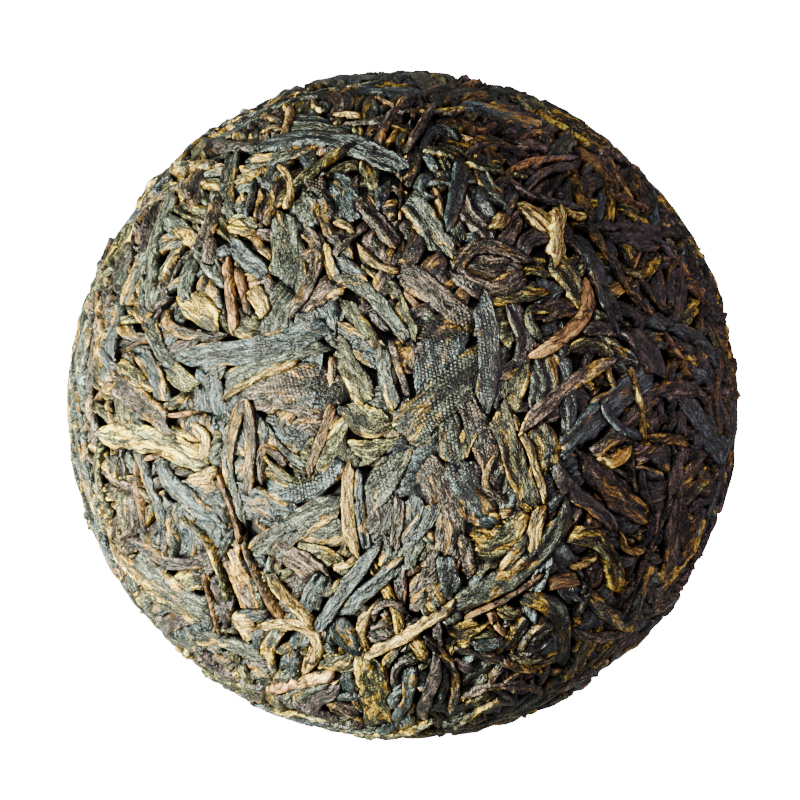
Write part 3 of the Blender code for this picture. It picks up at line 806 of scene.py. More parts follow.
def take_cells(flat, cells, side, depth, thick):
    """Tell the cells under a leaf how deep its underside lies."""
    inside = np.abs(side) < TAKEN_SHARE
    below = depth + thick * np.clip(TAKEN_FULL - np.abs(side) ** TAKEN_POWER, TAKEN_LEAST, 1)
    run, angle, _, _ = lay((flat[:-1] + flat[1:]) / 2)
    between_cells = cells_at(run, angle)
    below_between = (below[:-1] + below[1:]) / 2
    np.maximum.at(taken_to, cells[:, inside], below[:, inside])
    np.maximum.at(taken_to, between_cells[:, inside], below_between[:, inside])


print("a leaf takes up all of its thickness, and", TAKEN_LEAST, "of it at its margins")

# %% [markdown]
# How deep a leaf lies is a matter of the cells alone, so laying one is now a short list: outline
# it, ask the cells, wrinkle it, set its upper side and its underside, tell the cells, and add it
# to its heap. A leaf that would hardly show is given up before anything is built.

# %% Lay one leaf
GAP = 0.03 * MM
BOTTOM_POINTS = 3
BOTTOM_REACH = 0.85
UNDERSIDE_REACH = 1.3
BLUNT_STEM, BLUNT_LEAF = 0.9, 0.55
# in tight places leaves keep this share of their sink and of their thickness, and more if loose
SINK_TIGHT, SINK_LOOSE = 0.5, 0.5
THICK_TIGHT, THICK_LOOSE = 0.6, 1.1
# how unevenly loose leaves lie, and how far one may stand out, in mm
UNEVEN_SINK, STAND_OUT = 0.2, 0.12
# a leaf thins out where it is less than this wide to a side, down to a share of its thickness
THIN_BELOW, THINNEST = 0.35 * MM, 0.5
# on leaves that are narrower than this the folds wind round, by this much a millimetre at most
NARROW = 1.6 * MM
TWIST = 0.25
# how much leaves of one tone differ
TONE_SPREAD = 0.1
# what the lower side of a leaf gets for values that only count on the upper one
LOW_RIDGE, LOW_DEPTH, NO_PRINT = -1.0, 3.0, 1.0


def pad_bottom(values, fill):
    """The values of the upper side with one fixed value for all points of the lower side."""
    return np.pad(values, ((0, 0), (0, BOTTOM_POINTS)), constant_values=fill)


def lay_leaf(kind, line, width, sink, least_free, tone=None, blunt=None):
    """Lay a leaf under those that lie there already, unless too little of it would show."""
    form = KINDS[kind]
    rows = len(line)
    loose = looseness(line[rows // 2])
    uneven = max(dice.normal(0.0, UNEVEN_SINK), -STAND_OUT)
    sink = sink * (SINK_TIGHT + SINK_LOOSE * loose) + loose * uneven * MM
    side = points_across(width)
    if blunt is None:
        blunt = BLUNT_STEM if kind == "stem" else BLUNT_LEAF
    flat, out, half = outline_leaf(line, width, side, blunt)
    run, angle, _, _ = lay(flat)
    cells = cells_at(run, angle)
    asked = taken_to[cells]
    if np.mean(asked == 0) < least_free:
        return False
    thick = dice.uniform(*form["thick"]) * (THICK_TIGHT + THICK_LOOSE * loose) * MM
    thick = thick * np.clip(half / THIN_BELOW, THINNEST, 1.0)
    buried = np.where(asked > 0, asked + GAP, 0.0)
    depth = buried + sink + end_dip(rows)
    twist = dice.uniform(-TWIST, TWIST) if width < NARROW else 0.0
    ridge = wrinkle(rows, side, half, twist)
    relief = raise_relief(form, width, loose, side, ridge, thick) + unevenness(flat)
    top = flat + out[:, None] * (relief - depth)[..., None]
    middle = (len(side) - 1) / 2
    under_side = np.linspace(BOTTOM_REACH, -BOTTOM_REACH, BOTTOM_POINTS)
    under_column = np.round(middle + under_side * middle).astype(int)
    underside = (depth + UNDERSIDE_REACH * thick)[:, under_column]
    under = flat[:, under_column] - out[:, None] * underside[..., None]
    sections = np.concatenate((top, under), axis=1)
    sections[..., 2] = np.maximum(sections[..., 2], 0.0)
    take_cells(flat, cells, side, depth, thick)
    across = half * side / MM
    heaps[kind].add(sections, {
        "along": (np.arange(rows) * STATION / MM)[:, None],
        "across": np.concatenate((across, across[:, under_column]), axis=1),
        "edge": np.abs(np.concatenate((side, side[under_column])))[None, :],
        "ridge": pad_bottom(ridge, LOW_RIDGE),
        "depth": pad_bottom(buried / MM, LOW_DEPTH),
        "print": printed(sections) * (pad_bottom(buried, NO_PRINT) == 0),
        "tone": dice.random() if tone is None else tone + dice.uniform(0, TONE_SPREAD),
        "hue": dice.random(),
    })
    return True


print("a leaf lies", GAP / MM, "mm below the next")

# %% [markdown]
# A loose end gives a leaf away as a separate thing. In the cake most ends are out of sight under
# a neighbour. A drawn middle line is therefore followed both ways from the gap it was drawn for,
# and cut off shortly after it has gone under a leaf that lies there. Some pass right through
# below a narrow leaf and show again beyond it.

# %% Tuck in the ends
TUCK = 2.0 * MM
BRIDGE = 2.6 * MM
BRIDGE_CHANCE = 0.7


def stations_shown(hidden):
    """How many stations a leaf goes on, given which of them would be hidden."""
    tuck, bridge = round(TUCK / STATION), round(BRIDGE / STATION)
    station = 0
    while station < len(hidden):
        if hidden[station]:
            stretch = int(np.argmin(hidden[station:])) if not hidden[station:].all() else len(hidden)
            if stretch > bridge or dice.random() > BRIDGE_CHANCE:
                return min(station + tuck, len(hidden))
            station += stretch
        station += 1
    return len(hidden)


def tuck_in(line):
    """The part of a middle line from one hidden end to the other."""
    run, angle, _, _ = lay(line)
    hidden = taken_to[cells_at(run, angle)] > 0
    middle = len(line) // 2
    if hidden[middle]:
        return None
    ahead = stations_shown(hidden[middle:])
    back = stations_shown(hidden[middle::-1])
    return line[max(0, middle - back): middle + ahead]


print("an end goes", TUCK / MM, "mm under its neighbour")

# %% [markdown]
# ## Laying the cake
#
# The leaves placed one by one are laid first, from the top level down, because each one has to
# know what lies above it. A lower level also sinks a little deeper.

# %% Lay the leaves placed one by one
LEVELS = 5
LEVEL_SINK = 0.05 * MM
for level in range(LEVELS):
    for kind, width, its_level, start, middle, end, *tone_and_ends in EYE_CATCHERS:
        if its_level == level:
            line = line_through((start, middle, end))
            lay_leaf(kind, line, width * MM, LEVEL_SINK * (level - 1), 0.0, *tone_and_ends)
print("covered", round(float(np.mean(taken_to > 0)), 3))

# %% [markdown]
# The kinds aren't mixed evenly. The left of the cake, which faces the light, has more grey, olive
# and gold leaves, and the right, in half shade, has more brown and dark ones: partly the cake's own
# mix and partly painted shade. So a drawn leaf is kept or left out by lot, with better chances on
# the side that its kind leans to.

# %% Mix the kinds
SHARES = {
    "slate": 0.16, "grey": 0.18, "olive": 0.18, "brown": 0.20, "dark": 0.18, "gold": 0.03, "stem": 0.02
}
# below nought more of a kind on the left of the cake, above it more on the right
LEANS = {
    "slate": -0.1, "grey": -0.6, "olive": -0.4, "brown": 0.4, "dark": 0.8, "gold": -0.3, "stem": 0.1
}
EVEN_CHANCE = 0.5


def welcome(kind, place):
    """Whether a leaf of a kind is laid at a place."""
    return dice.random() < EVEN_CHANCE * (1 + LEANS[kind] * place[0] / RADIUS)


def draw_pool(candidates, length_scale):
    """Middle lines of all kinds, as many of each as its share gives."""
    pool = []
    for kind, share in SHARES.items():
        form = KINDS[kind]
        lengths = [size * length_scale for size in form["lengths"]]
        lines = draw_lines(round(candidates * share), lengths, form["turns"])
        pool += [(kind, line) for line in lines]
    return pool


print("shares", SHARES)

# %% [markdown]
# The drawn leaves come in rounds: a few that lie free, then long ones that are tucked in, and at
# last short shreds for the gaps. A later round is content with leaves of which less shows, so
# that the gaps between the large leaves fill up as they do in the press.

# %% Lay the drawn leaves
# candidates, least share of the leaf that shows, scale of length and width, sink in mm, tucked in
ROUNDS = (
    (200, 0.85, 0.9, 0.8, (-0.12, 0.02), False),
    (800, 0.50, 1.1, 1.2, (-0.08, 0.08), True),
    (1000, 0.35, 1.1, 1.3, (-0.04, 0.14), True),
    (1600, 0.25, 1.0, 1.4, (0.0, 0.20), True),
    (1900, 0.18, 0.8, 1.3, (0.0, 0.25), True),
    (2200, 0.12, 0.4, 1.2, (0.0, 0.15), True),
    (2600, 0.06, 0.3, 0.9, (0.0, 0.2), True),
)
SHORTEST = 5
NARROWER_IF_LOOSE = 0.4
LEAST_WIDTH = 0.5
for candidates, least_free, length_scale, width_scale, sinks, tucked in ROUNDS:
    laid = 0
    pool = draw_pool(candidates, length_scale)
    for number in dice.permutation(len(pool)):
        kind, line = pool[number]
        if not welcome(kind, line[len(line) // 2]):
            continue
        if tucked:
            line = tuck_in(line)
        if line is None or len(line) < SHORTEST:
            continue
        narrower = 1 - NARROWER_IF_LOOSE * looseness(line[len(line) // 2])
        width = dice.uniform(*KINDS[kind]["widths"]) * width_scale * narrower
        width = max(width, LEAST_WIDTH) * MM
        laid += lay_leaf(kind, line, width, dice.uniform(*sinks) * MM, least_free)
    print("laid", laid, "covered", round(float(np.mean(taken_to > 0)), 3))

# %% [markdown]
# ## From arrays to meshes
#
# A mesh is filled in one go from the gathered arrays. What a leaf knows about itself, such as
# how far along it a point is, goes with it as named values for the materials to read.

# %% Make meshes
def mesh_object(name, places, quads, fans, values):
    """A mesh object with named values on its points."""
    mesh = bpy.data.meshes.new(name)
    mesh.vertices.add(len(places))
    mesh.vertices.foreach_set("co", places.astype(np.float32).ravel())
    corners = np.concatenate((quads.ravel(), fans.ravel()))
    starts = np.concatenate((np.arange(len(quads)) * 4, len(quads) * 4 + np.arange(len(fans)) * 3))
    mesh.loops.add(len(corners))
    mesh.loops.foreach_set("vertex_index", corners.astype(np.int32))
    mesh.polygons.add(len(starts))
    mesh.polygons.foreach_set("loop_start", starts.astype(np.int32))
    mesh.polygons.foreach_set("use_smooth", np.ones(len(starts), dtype=bool))
    for value, numbers in values.items():
        mesh.attributes.new(value, "FLOAT", "POINT").data.foreach_set("value", numbers.astype(np.float32))
    mesh.update(calc_edges=True)
    made = bpy.data.objects.new(name, mesh)
    bpy.context.scene.collection.objects.link(made)
    return made


pieces = {}
for kind, heap in heaps.items():
    pieces[kind] = mesh_object(
        kind + "_leaves",
        np.concatenate(heap.places),
        np.concatenate(heap.quads),
        np.concatenate(heap.fans),
        {name: np.concatenate(parts) for name, parts in heap.values.items()},
    )
    triangles = 2 * sum(len(part) for part in heap.quads) + sum(len(part) for part in heap.fans)
    print(kind, heap.leaves, "leaves,", triangles, "triangles")

# %% [markdown]
# ## The core
#
# Between the leaves one looks down into the inside of the cake, which lies in deep shade. It is
# the same section, a little deeper, with rough crumbs as relief.

# %% Make the core
CORE_DEPTH = 1.6 * MM
CORE_AROUND = 200
CORE_ROWS = 90
CRUMB_HEIGHT = 0.25
core_run = np.linspace(0.0, RUN[-1], CORE_ROWS)
core_angle = np.linspace(0.0, 2 * math.pi, CORE_AROUND, endpoint=False)
grid_run, grid_angle = np.meshgrid(core_run, core_angle, indexing="ij")
grid_ring = np.interp(grid_run, RUN, RING)
grid_level = np.interp(grid_run, RUN, LEVEL)
grid = (grid_ring * np.cos(grid_angle), grid_ring * np.sin(grid_angle), grid_level)
_, _, core_place, core_out = lay(np.stack(grid, axis=-1))
rough = dice.uniform(-CRUMB_HEIGHT, CRUMB_HEIGHT, grid_ring.shape) * MM
core_place = core_place - core_out * (CORE_DEPTH + rough)[..., None]
core_numbers = np.arange(CORE_ROWS * CORE_AROUND).reshape(CORE_ROWS, CORE_AROUND)
beside = np.roll(core_numbers, -1, axis=1)
core_quads = np.stack((core_numbers[:-1], core_numbers[1:], beside[1:], beside[:-1]), axis=-1)
core_quads = core_quads.reshape(-1, 4)
core_fans = np.zeros((0, 3), dtype=int)
pieces["core"] = mesh_object("core", core_place.reshape(-1, 3), core_quads, core_fans, {})
print("core", len(core_quads) * 2, "triangles")

# %% [markdown]
# ## Nodes in few words
#
# Every finish here is worked out by nodes and not taken from pictures, so it stays sharp from
# close by and needs no unwrapping. Adding a node, setting its sockets and linking it takes
# several lines each time. A small class does it in one call and takes a number, a colour or
# another node's output for any socket.

# %% Add nodes in one line each
class Nodes:
    """Adds nodes to a tree, each with its sockets set or linked in one line."""

    def __init__(self, tree):
        self.tree = tree

    def add(self, kind, output, inputs, **settings):
        node = self.tree.nodes.new(kind)
        for name, value in settings.items():
            setattr(node, name, value)
        for name, value in inputs.items():
            if isinstance(value, bpy.types.NodeSocket):
                self.tree.links.new(value, node.inputs[name])
            else:
                node.inputs[name].default_value = value
        return node.outputs[output]

    def value(self, name):
        """One of the named values that the leaves carry."""
        return self.add("ShaderNodeAttribute", "Fac", {}, attribute_name=name)

    def math(self, operation, first, second=0.0):
        return self.add("ShaderNodeMath", 0, {0: first, 1: second}, operation=operation)

    def plus(self, total, value, strength, middle=0.0):
        """A total with a value added that counts from its middle, at this strength."""
        if middle:
            value = self.math("SUBTRACT", value, middle)
        return self.math("ADD", total, self.math("MULTIPLY", value, strength))

    def spread(self, value, low, high, to_low=0.0, to_high=1.0):
        """A value between two limits, spread out between two others and kept inside them."""
        inputs = {"Value": value, "From Min": low, "From Max": high, "To Min": to_low, "To Max": to_high}
        return self.add("ShaderNodeMapRange", "Result", inputs)

    def vector(self, operation, first, second):
        inputs = {0: first, "Scale" if operation == "SCALE" else 1: second}
        return self.add("ShaderNodeVectorMath", 0, inputs, operation=operation)

    def mix(self, share, first, second):
        inputs = {0: share, 6: first, 7: second}
        return self.add("ShaderNodeMix", 2, inputs, data_type="RGBA")

    def noise(self, place, scale, detail=1.0, roughness=0.5, output="Fac"):
        inputs = {"Vector": place, "Scale": scale, "Detail": detail, "Roughness": roughness}
        return self.add("ShaderNodeTexNoise", output, inputs)


def new_group(name, inputs, outputs):
    """A node group with named sockets: its tree, its input node and its output node."""
    tree = bpy.data.node_groups.new(name, "ShaderNodeTree")
    for socket, kind, default in inputs:
        made = tree.interface.new_socket(socket, in_out="INPUT", socket_type="NodeSocket" + kind)
        made.default_value = default
    for socket, kind in outputs:
        tree.interface.new_socket(socket, in_out="OUTPUT", socket_type="NodeSocket" + kind)
    print("group", name, "takes", len(inputs), "values and puts out", len(outputs))
    return tree, tree.nodes.new("NodeGroupInput"), tree.nodes.new("NodeGroupOutput")


print("helpers", [name for name in vars(Nodes) if not name.startswith("_")])

# %% [markdown]
# ## Wrinkles and fibres
#
# A tea leaf shrivels as it dries: it wrinkles lengthwise, cracks where a fold was pressed flat,
# and shows its fibres between the folds. All of that runs along the leaf and turns with it. So
# the patterns are noise in the leaf's own measures, millimetres across and along, and stretched
# lengthwise. Where noise passes its middle value it makes one thin winding line, which serves as
# a crease. The pattern is the same for every leaf, so each leaf reads it at a level of its own.

# %% Make the wrinkles
# how often each pattern repeats in a millimetre, across a leaf and along it
FOLD_RATE = (1.0, 0.16)
LINE_RATE = (2.4, 0.34)
FIBRE_RATE = (3.2, 0.5)
MOTTLE_RATE = (0.7, 0.2)
WARP_RATE = (0.5, 0.5)
# how far the warp pushes each pattern sideways
FOLD_BEND, LINE_BEND, MOTTLE_BEND = 2.2, 4.0, 1.2
LENGTHWISE_BEND = 0.1
# how far from its middle line a fold, a line and a crease reach
FOLD_REACH, LINE_REACH = 0.17, 0.06
CREASE_REACH = (0.03, 0.1)
# how often each repeats in a metre, over the whole cake
GRAIN_RATE, SPECKLE_RATE, DUST_RATE = 2600.0, 5600.0, 800.0
DUST_FROM, DUST_TO = 0.45, 0.65
LEVEL_STEP = 90.0
# detail of the noise of the lines, and detail and roughness of the others
LINE_DETAIL = 2.0
FIBRE_NOISE, GRAIN_NOISE, DUST_NOISE, MOTTLE_NOISE = (3.0, 0.7), (2.0, 0.6), (3.0, 0.6), (3.0, 0.52)


def leaf_veins_group():
    """Folds, creases, lines and fibres that run along each leaf, and grain and mottling on it."""
    outputs = ("Folds", "Crease", "Lines", "Fibres", "Grain", "Speckle", "Dusted", "Mottle")
    sockets = [(name, "Float") for name in outputs]
    tree, given, result = new_group("leaf_veins", [("Fineness", "Float", 1.0)], sockets)
    nodes = Nodes(tree)
    level = nodes.math("MULTIPLY", nodes.value("tone"), LEVEL_STEP)
    across = nodes.math("MULTIPLY", nodes.value("across"), given.outputs["Fineness"])
    along = nodes.value("along")

    def stretched(rate):
        place = {"X": nodes.math("MULTIPLY", across, rate[0]), "Y": nodes.math("MULTIPLY", along, rate[1])}
        return nodes.add("ShaderNodeCombineXYZ", 0, {**place, "Z": level})

    def bent(rate, bend):
        pushed = nodes.vector("MULTIPLY", warp, (bend, LENGTHWISE_BEND, 0.0))
        return nodes.vector("ADD", stretched(rate), pushed)

    def off_middle(place, detail=1.0):
        return nodes.math("ABSOLUTE", nodes.math("SUBTRACT", nodes.noise(place, 1.0, detail), 0.5))

    warp = nodes.noise(stretched(WARP_RATE), 1.0, output="Color")
    warp = nodes.vector("SUBTRACT", warp, (0.5, 0.5, 0.5))
    fold = off_middle(bent(FOLD_RATE, FOLD_BEND))
    line = off_middle(bent(LINE_RATE, LINE_BEND), LINE_DETAIL)
    cake = nodes.add("ShaderNodeTexCoord", "Object", {})
    made = {
        "Folds": nodes.spread(fold, 0.0, FOLD_REACH),
        "Crease": nodes.spread(fold, 0.0, nodes.spread(nodes.value("hue"), 0.0, 1.0, *CREASE_REACH)),
        "Lines": nodes.spread(line, 0.0, LINE_REACH),
        "Fibres": nodes.noise(stretched(FIBRE_RATE), 1.0, *FIBRE_NOISE),
        "Grain": nodes.noise(cake, GRAIN_RATE, *GRAIN_NOISE),
        "Speckle": nodes.noise(cake, SPECKLE_RATE),
        "Dusted": nodes.spread(nodes.noise(cake, DUST_RATE, *DUST_NOISE), DUST_FROM, DUST_TO),
        "Mottle": nodes.noise(bent(MOTTLE_RATE, MOTTLE_BEND), 1.0, *MOTTLE_NOISE),
    }
    for name, value in made.items():
        tree.links.new(value, result.inputs[name])
    return tree


VEINS = leaf_veins_group()

# %% [markdown]
# ## The print of the cloth
#
# The bag that the leaves were pressed in left its weave here and there on the dome, most clearly
# in the middle: rows of small dents that run on from leaf to leaf. Modelling thousands of dents
# would cost more than they show, so two waves that cross make them, one for the rows and one for
# the beads along each row.
# They are laid out over the whole cake, and fade out where the leaves say there is no print.

# %% Make the cloth print
THREAD_PITCH = 0.43 * MM
BEADS_TO_ROWS = 2.2
WEAVE_TURN = -0.2
WEAVE_WARP_RATE = 200.0
WEAVE_WARP = 1.6 * MM
BEAD_STRENGTH = 0.8
ROW_LEVEL = 0.6
FADE_RATE = 330.0
FADE_DETAIL = 2.0
FADE_FROM, FADE_TO, FAINTEST = 0.32, 0.55, 0.35


def cloth_print_group():
    """The weave of the pressing cloth: rows of small dents, fading in and out."""
    sockets = [("Weave", "Float"), ("Share", "Float")]
    tree, given, result = new_group("cloth_print", [("Pitch", "Float", THREAD_PITCH)], sockets)
    nodes = Nodes(tree)
    cake = nodes.add("ShaderNodeTexCoord", "Object", {})
    warp = nodes.vector("SCALE", nodes.noise(cake, WEAVE_WARP_RATE, output="Color"), WEAVE_WARP)
    turned = {"Vector": cake, "Angle": WEAVE_TURN}
    turned = nodes.add("ShaderNodeVectorRotate", 0, turned, rotation_type="Z_AXIS")
    split = tree.nodes.new("ShaderNodeSeparateXYZ")
    tree.links.new(nodes.vector("ADD", turned, warp), split.inputs[0])
    rate = nodes.math("DIVIDE", math.pi, given.outputs["Pitch"])
    bead_rate = nodes.math("MULTIPLY", rate, BEADS_TO_ROWS)
    across = nodes.math("COSINE", nodes.math("MULTIPLY", split.outputs[0], rate))
    along = nodes.math("COSINE", nodes.math("MULTIPLY", split.outputs[1], bead_rate))
    rows = nodes.math("SUBTRACT", nodes.math("ABSOLUTE", across), ROW_LEVEL)
    weave = nodes.plus(rows, nodes.math("MULTIPLY", across, along), BEAD_STRENGTH)
    tree.links.new(weave, result.inputs["Weave"])
    fade = nodes.noise(cake, FADE_RATE, FADE_DETAIL)
    fade = nodes.spread(fade, FADE_FROM, FADE_TO, FAINTEST, 1.0)
    tree.links.new(nodes.math("MULTIPLY", nodes.value("print"), fade), result.inputs["Share"])
    return tree


CLOTH = cloth_print_group()

# %% [markdown]
# ## The colour of a leaf
#
# A pressed leaf isn't one colour. Its dull side is blue-grey to brown, its torn margins and the
# buds are ochre, and dust and fine hairs lie on it as pale specks. Differences in brightness are
# added up in stops, as a photographer counts them, and applied in one go at the end: that keeps
# dark leaves and pale ones equally lively. Where a leaf goes under another one, at its margins
# and in its creases its colour is painted almost black, as painted shade, for hardly any light
# gets out of such a gap.

# %% Make the leaf colour
# stops that each pattern adds for each unit above its middle; folds and lines come out darker in
# their grooves than on their crests, which is painted shade
PATTERN_STOPS = {"Fibres": (10.0, 0.5), "Folds": (0.8, 0.6), "Lines": (3.0, 0.75)}
# RIDGE_STOPS makes a leaf lighter on the ridges of its mesh and darker in its grooves: partly dirt in the
# grooves, partly painted shade and highlight
GRAIN_STOPS, SPECKLE_STOPS, RIDGE_STOPS, WEAVE_STOPS = 4.0, 12.5, 0.3, 1.7
DARKEST_TONE, TONE_RANGE = -0.69, 1.12
CALM_IN_PRINT = 0.6
SHADOW_STOPS, DUST_STOPS = -1.2, 1.8
PATCH_FROM, PATCH_TO = 0.55, 0.61
# what shifts the outline of a patch: grain, speckle, the leaf's own hue, its margin, its kind
# and the print, which was pressed on smooth leaves
PATCH_GRAIN, PATCH_SPECKLE, PATCH_HUE, PATCH_MARGIN, PATCH_KIND = 0.09, 0.04, 0.05, 0.05, 0.25
PATCH_PRINT = -0.05
MARGIN_WARM = 0.6
PALE_SPECK = (0.55, 0.45, 0.20, 1.0)
LEAF_IN_SPECK = 0.3
SPECK_FROM, SPECK_TO, SPECK_SHARE = 0.57, 0.7, 0.8
DUSTIEST = 0.8
# painted shade: near black where a leaf lies under others, at its margins and in its creases
BURIED_FROM, BURIED_TO, BURIED_SHADE = 0.1, 0.28, 0.04
MARGIN_FROM, MARGIN_TO, MARGIN_SHADE = 0.88, 0.97, 0.04
CREASE_SHADE = 0.03
BRIGHTEST = (0.8, 0.8, 0.8)


def leaf_colour_group():
    """The colour of a pressed leaf: darker and lighter by stops, with ochre patches and cracks."""
    colours = [(name, "Color", (0, 0, 0, 1)) for name in ("Shadow", "Dust", "Patch")]
    numbers = ("Patches", "Dusty", "Contrast", "Folds", "Lines", "Fibres", "Crease")
    numbers += ("Grain", "Speckle", "Dusted", "Mottle", "Weave", "Print")
    sockets = colours + [(name, "Float", 0.5) for name in numbers]
    tree, given, result = new_group("leaf_colour", sockets, [("Color", "Color")])
    nodes = Nodes(tree)
    given = given.outputs
    grain, speckle = (
        nodes.math("MULTIPLY", nodes.math("SUBTRACT", given[name], 0.5), given["Dusty"])
        for name in ("Grain", "Speckle")
    )
    # lighter on the mesh's ridges, darker in its grooves: partly dirt, partly painted shade and highlight
    stops = nodes.math("MULTIPLY", nodes.value("ridge"), RIDGE_STOPS)
    for name, (strength, middle) in PATTERN_STOPS.items():
        stops = nodes.plus(stops, given[name], strength, middle)
    stops = nodes.plus(stops, grain, GRAIN_STOPS)
    stops = nodes.plus(stops, speckle, SPECKLE_STOPS)
    stops = nodes.math("MULTIPLY", stops, given["Contrast"])
    stops = nodes.plus(stops, nodes.value("tone"), TONE_RANGE)
    stops = nodes.math("ADD", stops, DARKEST_TONE)
    stops = nodes.math("MULTIPLY", stops, nodes.spread(given["Print"], 0.0, 1.0, 1.0, CALM_IN_PRINT))
    stops = nodes.plus(stops, nodes.math("MULTIPLY", given["Weave"], given["Print"]), WEAVE_STOPS)
    patch = nodes.plus(nodes.plus(given["Mottle"], grain, PATCH_GRAIN), speckle, PATCH_SPECKLE)
    patch = nodes.plus(patch, nodes.spread(nodes.value("hue"), 0.0, 1.0, -1.0, 1.0), PATCH_HUE)
    patch = nodes.plus(patch, nodes.spread(nodes.value("edge"), MARGIN_WARM, 1.0), PATCH_MARGIN)
    patch = nodes.plus(patch, nodes.spread(given["Patches"], 0.0, 1.0, -1.0, 1.0), PATCH_KIND)
    patch = nodes.plus(patch, given["Print"], PATCH_PRINT)
    patch = nodes.spread(patch, PATCH_FROM, PATCH_TO)
    colour = nodes.mix(nodes.spread(stops, SHADOW_STOPS, DUST_STOPS), given["Shadow"], given["Dust"])
    colour = nodes.mix(patch, colour, given["Patch"])
    colour = nodes.vector("SCALE", colour, nodes.math("POWER", 2.0, stops))
    specks = nodes.math("MULTIPLY", given["Dusted"], nodes.spread(given["Dusty"], 0.0, DUSTIEST))
    specks = nodes.math("MULTIPLY", nodes.spread(given["Speckle"], SPECK_FROM, SPECK_TO), specks)
    pale = nodes.mix(LEAF_IN_SPECK, PALE_SPECK, colour)
    colour = nodes.mix(nodes.math("MULTIPLY", specks, SPECK_SHARE), colour, pale)
    # painted shade: darker where the leaf lies under others, at its margins and in its creases
    dark = nodes.spread(nodes.value("depth"), BURIED_FROM, BURIED_TO, 1.0, BURIED_SHADE)
    margin = nodes.spread(nodes.value("edge"), MARGIN_FROM, MARGIN_TO, 1.0, MARGIN_SHADE)
    dark = nodes.math("MINIMUM", dark, margin)
    dark = nodes.math("MINIMUM", dark, nodes.spread(given["Crease"], 0.0, 1.0, CREASE_SHADE, 1.0))
    colour = nodes.vector("MINIMUM", nodes.vector("SCALE", colour, dark), BRIGHTEST)
    tree.links.new(colour, result.inputs["Color"])
    return tree


LEAF_COLOUR = leaf_colour_group()

# %% [markdown]
# ## Seven finishes
#
# Each kind of leaf has a dark colour for its hollows, a dull one for what stands up and one for
# its ochre patches. How much of it is patched, how dusty it is and how strongly its patterns
# show differ too. Smooth leaves have a faint sheen, like old leather. The two ends of each range
# are darker and more saturated than the cake looks, because a lit surface always comes out
# paler than its base colour.

# %% List the finishes
FINISHES = {
    "slate": dict(
        Shadow=(0.006, 0.014, 0.021), Dust=(0.021, 0.030, 0.034), Patch=(0.140, 0.074, 0.011),
        Patches=0.44, Dusty=0.5,
    ),
    "grey": dict(
        Shadow=(0.012, 0.016, 0.016), Dust=(0.035, 0.041, 0.030), Patch=(0.225, 0.120, 0.012),
        Patches=0.50, Dusty=0.7,
    ),
    "olive": dict(
        Shadow=(0.015, 0.014, 0.008), Dust=(0.051, 0.048, 0.020), Patch=(0.300, 0.170, 0.016),
        Patches=0.55, Dusty=0.7,
    ),
    "brown": dict(
        Shadow=(0.014, 0.010, 0.009), Dust=(0.044, 0.029, 0.023), Patch=(0.165, 0.084, 0.013),
        Patches=0.48, Dusty=0.6,
    ),
    "dark": dict(
        Shadow=(0.007, 0.005, 0.008), Dust=(0.026, 0.017, 0.018), Patch=(0.108, 0.052, 0.012),
        Patches=0.44, Dusty=0.4,
    ),
    "gold": dict(
        Shadow=(0.100, 0.056, 0.012), Dust=(0.350, 0.215, 0.056), Patch=(0.340, 0.165, 0.024),
        Patches=0.45, Dusty=0.5, Contrast=0.75,
    ),
    "stem": dict(
        Shadow=(0.055, 0.026, 0.012), Dust=(0.250, 0.125, 0.045), Patch=(0.330, 0.195, 0.055),
        Patches=0.45, Dusty=0.3, Contrast=0.5,
    ),
}
# how fine the wrinkles are, and roughness and specular level
FINENESS = {"grey": 1.05, "olive": 1.1, "gold": 1.15, "stem": 0.8}
SHEEN = {"slate": (0.35, 0.6), "grey": (0.4, 0.45), "dark": (0.35, 0.5), "brown": (0.4, 0.4)}
DULL = (0.45, 0.3)
print(len(FINISHES), "finishes")

# %% [markdown]
# The three groups meet in one material for each kind. Wrinkles that are finer than a grain of
# rice are relief of the surface, not of the mesh: they add up to one height in millimetres, and
# a bump node turns it into a normal.

# %% Make the leaf materials
FOLD_HEIGHT = 0.11
RELIEF = {"Lines": 0.09, "Fibres": 0.25, "Grain": 0.2, "Speckle": 0.06}
CALM_RELIEF = 0.4
WEAVE_HEIGHT = 0.07


